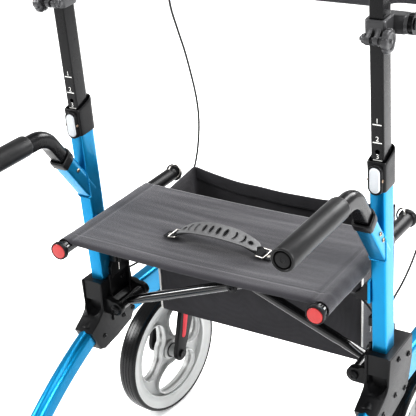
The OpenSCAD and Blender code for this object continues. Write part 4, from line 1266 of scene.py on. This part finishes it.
def clamp(word, side):
    """Cast split clamp with ears and bolt, and the lobed knob."""
    body = f"{word}_upper"
    ring_out, ring_in = bullet(31, 44, 6, 16, 5), bullet(20.6, 34.6, 2, 16, 5)
    def lay(outline, dy, z, k=1.0):
        return [(x * k, (y - 20) * k + 20 + dy, z) for x, y in outline]
    shell = loft([lay(ring_out, -2, 497, 0.97), lay(ring_out, -2, 498.2), lay(ring_out, -2, 529),
                  lay(ring_out, -2, 531.2, 0.985), lay(ring_out, -2, 532, 0.95),
                  lay(ring_in, 2.7, 532, 1.03), lay(ring_in, 2.7, 530), lay(ring_in, 2.7, 498),
                  lay(ring_in, 2.7, 497, 1.03)], closed=True)
    geos = [shell]
    ear = [(4, 14), (-2, 14), (-9, 6)]
    for a in range(150, 300, 15):
        ear.append((-8 + 8.5 * math.cos(math.radians(a)), 8.5 * math.sin(math.radians(a))))
    ear += [(4, -10)]
    for x in (-6.2, 6.2):
        geos.append(placed(plate([ear], 8.2, 1.2), shift(x, 0, CLAMP_BOLT_S) @ SIDE_PLANE))
    geos.append(placed(screw((0, 0, 0), (-1, 0, 0), 7.0, 6.0, 6), shift(-10.4, -8, CLAMP_BOLT_S)))
    geos.append(turned([(-18, 3), (28, 3)], "x", (0, -8, CLAMP_BOLT_S), 20))
    piece(f"{word}_clamp_shell", placed(merged(*geos), POST), M["cast"], body, side,
          replaces=f"{word}_clamp", angle=35)
    plain = [placed(plate([rounded(32, 24, 4)], 26, 2.0), shift(POST_X + 17, 141, 390))]
    plain.append(turned([(297, 13), (297.6, 15), (302.4, 15), (303, 14)], "x", (0, 141, 390), 40))
    for k in range(24):
        a = math.radians(15 * k)
        tooth = (0, 141 + 12.5 * math.cos(a), 390 + 12.5 * math.sin(a))
        plain.append(turned([(302.6, 1.1), (303.2, 0.6)], "x", tooth, 6))
    plain.append(turned([(300, 4), (310.2, 4), (310.2, 7), (310.8, 8), (312.6, 8), (313, 7), (313, 4.5),
                         (312, 4.2), (312, 0.01)], "x", (0, 141, 390), 32, caps=(True, False)))
    piece(f"{word}_pivot_block", merged(*plain), M["cast"], body, side, angle=35)
    rows = []
    n = 72
    for x, r, lobe in ((10.4, 5.5, 0), (16, 5.5, 0), (16.4, 9, 0.3), (17.4, 14.4, 1), (19, 16.2, 1),
                       (24.5, 16.4, 1), (26.4, 15.2, 1), (27, 13, 0.6), (26.6, 10.5, 0.1), (25.6, 9.8, 0),
                       (25.4, 4.0, 0), (26.2, 3.4, 0), (26.2, 0.01, 0)):
        ring = []
        for k in range(n):
            a = 2 * math.pi * k / n
            rr = r + lobe * 2.2 * (abs(math.cos(3 * a)) ** 0.7 - 0.55)
            ring.append((x, -8 + rr * math.cos(a), CLAMP_BOLT_S + rr * math.sin(a)))
        rows.append(ring)
    knob = loft(rows, caps=(True, False))
    piece(f"{word}_knob_shell", placed(knob, POST), M["cast"], f"{word}_knob", side,
          replaces=f"{word}_clamp_knob", angle=40)


def arm_pad(word, side):
    """Padded forearm cushion in the trough: crowned, rounded at its rim, with two sewn channels."""
    cz, y0, y1 = 600.0, -51.0, 169.0
    rows, cols = 66, 44
    a0, a1 = math.radians(-158), math.radians(-22)
    r = 49.5
    channels = (0.30, 0.70)
    sections = []
    for j in range(rows + 1):
        v = j / rows
        y = y0 + (y1 - y0) * v
        ra, rb = [], []
        for i in range(cols + 1):
            u = i / cols
            a = a0 + (a1 - a0) * u
            edge = (1 - abs(2 * u - 1) ** 5) * (1 - abs(2 * v - 1) ** 9)
            th = 0.6 + 8.6 * max(0.0, edge) ** 0.45
            for c in channels:
                th -= 3.2 * math.exp(-((u - c) / 0.022) ** 2) * edge
            th += 0.5 * wobble(u * 150, y, 30, 30, 6.0) * edge
            ra.append((POST_X + (r - th) * math.cos(a), y, cz + (r - th) * math.sin(a)))
            rb.append((POST_X + r * math.cos(a), y, cz + r * math.sin(a)))
        sections.append(ra + rb[::-1])
    pad = piece(f"{word}_pad_cushion", loft(sections), M["padding"], f"{word}_upper", side, angle=75,
                replaces=f"{word}_arm_pad")
    stitches = []
    for c in channels:
        a = a0 + (a1 - a0) * c
        for k in range(48):
            y = y0 + 6 + k * 4.4
            p = (POST_X + (r - 6) * math.cos(a), y, cz + (r - 6) * math.sin(a))
            stitches.append(tube([p, (p[0], y + 3, p[2])], 0.4, 5, (1, 0, 0.3)))
    piece(f"{word}_pad_stitching", merged(*stitches), M["thread"], f"{word}_upper", side)


def hand_grip(word, side):
    """Ribbed rubber grip with a flange and domed end."""
    prof = [(9.8, 11.2), (10, 18.4), (11, 19.2), (14.6, 19.2), (16, 18.2), (17.2, 16.6)]
    for k in range(19):
        z = 20 + 4.7 * k
        swell = 0.9 * math.sin(math.pi * (k + 0.5) / 19)
        prof += [(z - 1.6, 15.6 + swell), (z, 14.9 + swell), (z + 1.4, 15.6 + swell)]
    prof += [(112, 15.6), (118, 15.2), (120.6, 13.2), (121.8, 9), (122, 0.01)]
    geo = placed(turned(prof, "z", (0, 0, 0), 48, caps=(True, False)), GRIP)
    piece(f"{word}_grip_rubber", geo, M["rubber"], f"{word}_upper", side, replaces=f"{word}_hand_grip",
          angle=60)


QUILTING = (-136, -68, 0, 68, 136)


def backrest():
    """Padded strap between the swing arms: thick quilted middle, thin webbing ends."""
    rings = []
    n = 110
    for k in range(n + 1):
        x = -295 + 590 * k / n
        mid = 1 / (1 + math.exp((abs(x) - 205) / 6))
        th = 2.6 + 8.6 * mid * (1 - 0.25 * math.exp(-((abs(x) - 205) / 10) ** 2))
        for c in QUILTING:
            th -= 4.2 * math.exp(-((x - c) / 3.0) ** 2) * mid
        w = 50 + 18.5 * mid
        ring = []
        m = 40
        for q in range(m):
            a = 2 * math.pi * q / m
            ca, sa = math.cos(a), math.sin(a)
            y = BACKREST_Y + th / 2 * math.copysign(abs(ca) ** 0.7, ca)
            z = 395 + w / 2 * math.copysign(abs(sa) ** 0.45, sa)
            y += 0.35 * wobble(x, z, 26, 22, 2.0) * mid
            ring.append((x, y, z))
        rings.append(ring)
    pad = piece("backrest_pad", loft(rings), M["padding"], "left_swing_arm", 1, angle=75,
                replaces="backrest_strap")
    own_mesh(pad)
    stitches = []
    for c in QUILTING:
        for k in range(15):
            z = 366 + 4.1 * k
            for y in (BACKREST_Y - 3.6, BACKREST_Y + 3.6):
                stitches.append(tube([(c, y, z), (c, y, z + 2.8)], 0.4, 5, (1, 0.3, 0)))
    for zz in (363.8, 426.2):
        for k in range(-46, 46):
            x, y = k * 4.3, BACKREST_Y - 2.7
            stitches.append(tube([(x, y, zz), (x + 3, y, zz)], 0.4, 5, (0, 0.3, 1)))
    thread = piece("backrest_stitching", merged(*stitches), M["thread"], "left_swing_arm", 1)
    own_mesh(thread)


# the brake cable's route, from the lever's bracket to the junction
CABLE = [
    (262, 378, 555), (261, 378, 538), (257, 378, 512), (251, 374, 478), (243, 367, 438),
    (234, 360, 396), (228, 357, 352), (226, 360, 306), (226, 378, 258), (226, 396, 214),
    (226, 411, 168), (226, 423, 124), (227, 430, 82), (229, 430, 42), (231, 422, 2),
    (232, 404, -34), (232, 378, -66), (232, 346, -90), (232, 310, -107), (232, 272, -118),
    (235, 242, -127), (242, 226, -134), (250, 217, -139), (256, 211, -142)]


def cable(word, side):
    """Brake cable and its ferrule, and the short link from the junction to the cradle."""
    line = smooth_line(CABLE, 5)
    ob = piece(f"{word}_cable", tube(line, 1.75, 12), M["cable"], None, side,
               replaces=f"{word}_brake_cable")
    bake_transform(ob)
    sleeve = turned([(-14, 2.2), (-13, 3.0), (-2, 3.6), (0, 3.3)], "z", (262, 378, 557), 16)
    piece(f"{word}_cable_ferrule", sleeve, M["steel"], f"{word}_upper", side)
    # short link from the junction's housing up to the cradle, with its bright inner wire
    link = smooth_line([(252, 172, -106), (243, 168, -88), (228, 160, -62), (218, 146, -46),
                        (217, 132, -34), (226, 127, -22), (236, 129, -13)], 6)
    piece(f"{word}_link_cable", tube(link, 1.9, 8), M["cable"], f"{word}_frame", side)
    wire = tube([(240, 161, -118), (241, 163, -103)], 0.9, 8)
    piece(f"{word}_inner_wire", wire, M["steel"], f"{word}_frame", side)


# ---- Assembly ----

camera()
studio()

LOOK = {"front_arm": "blue", "stem": "black_paint", "backrest_arm": "black_paint", "arm_trough": "plastic",
        "handle_tube": "black_paint", "brake_lever": "plastic", "front_axle": "black_steel",
        "brake_carrier": "steel", "brake_shoe": "plastic"}
for word, side in SIDES:
    for part, look in LOOK.items():
        dress(f"{word}_{part}", M[look])
    cable(word, side)
    post_and_socket(word, side)
    stem_marks(word, side)
    collar(word, side)
    assist_handle(word, side)
    rear_leg(word, side)
    junction(word, side)
    wheel(word, side, True)
    wheel(word, side, False)
    fork(word, side)
    tube_ends(word, side)
    clamp(word, side)
    arm_pad(word, side)
    hand_grip(word, side)
brace_looks()
sling()
strap_handle()
bag()
backrest()
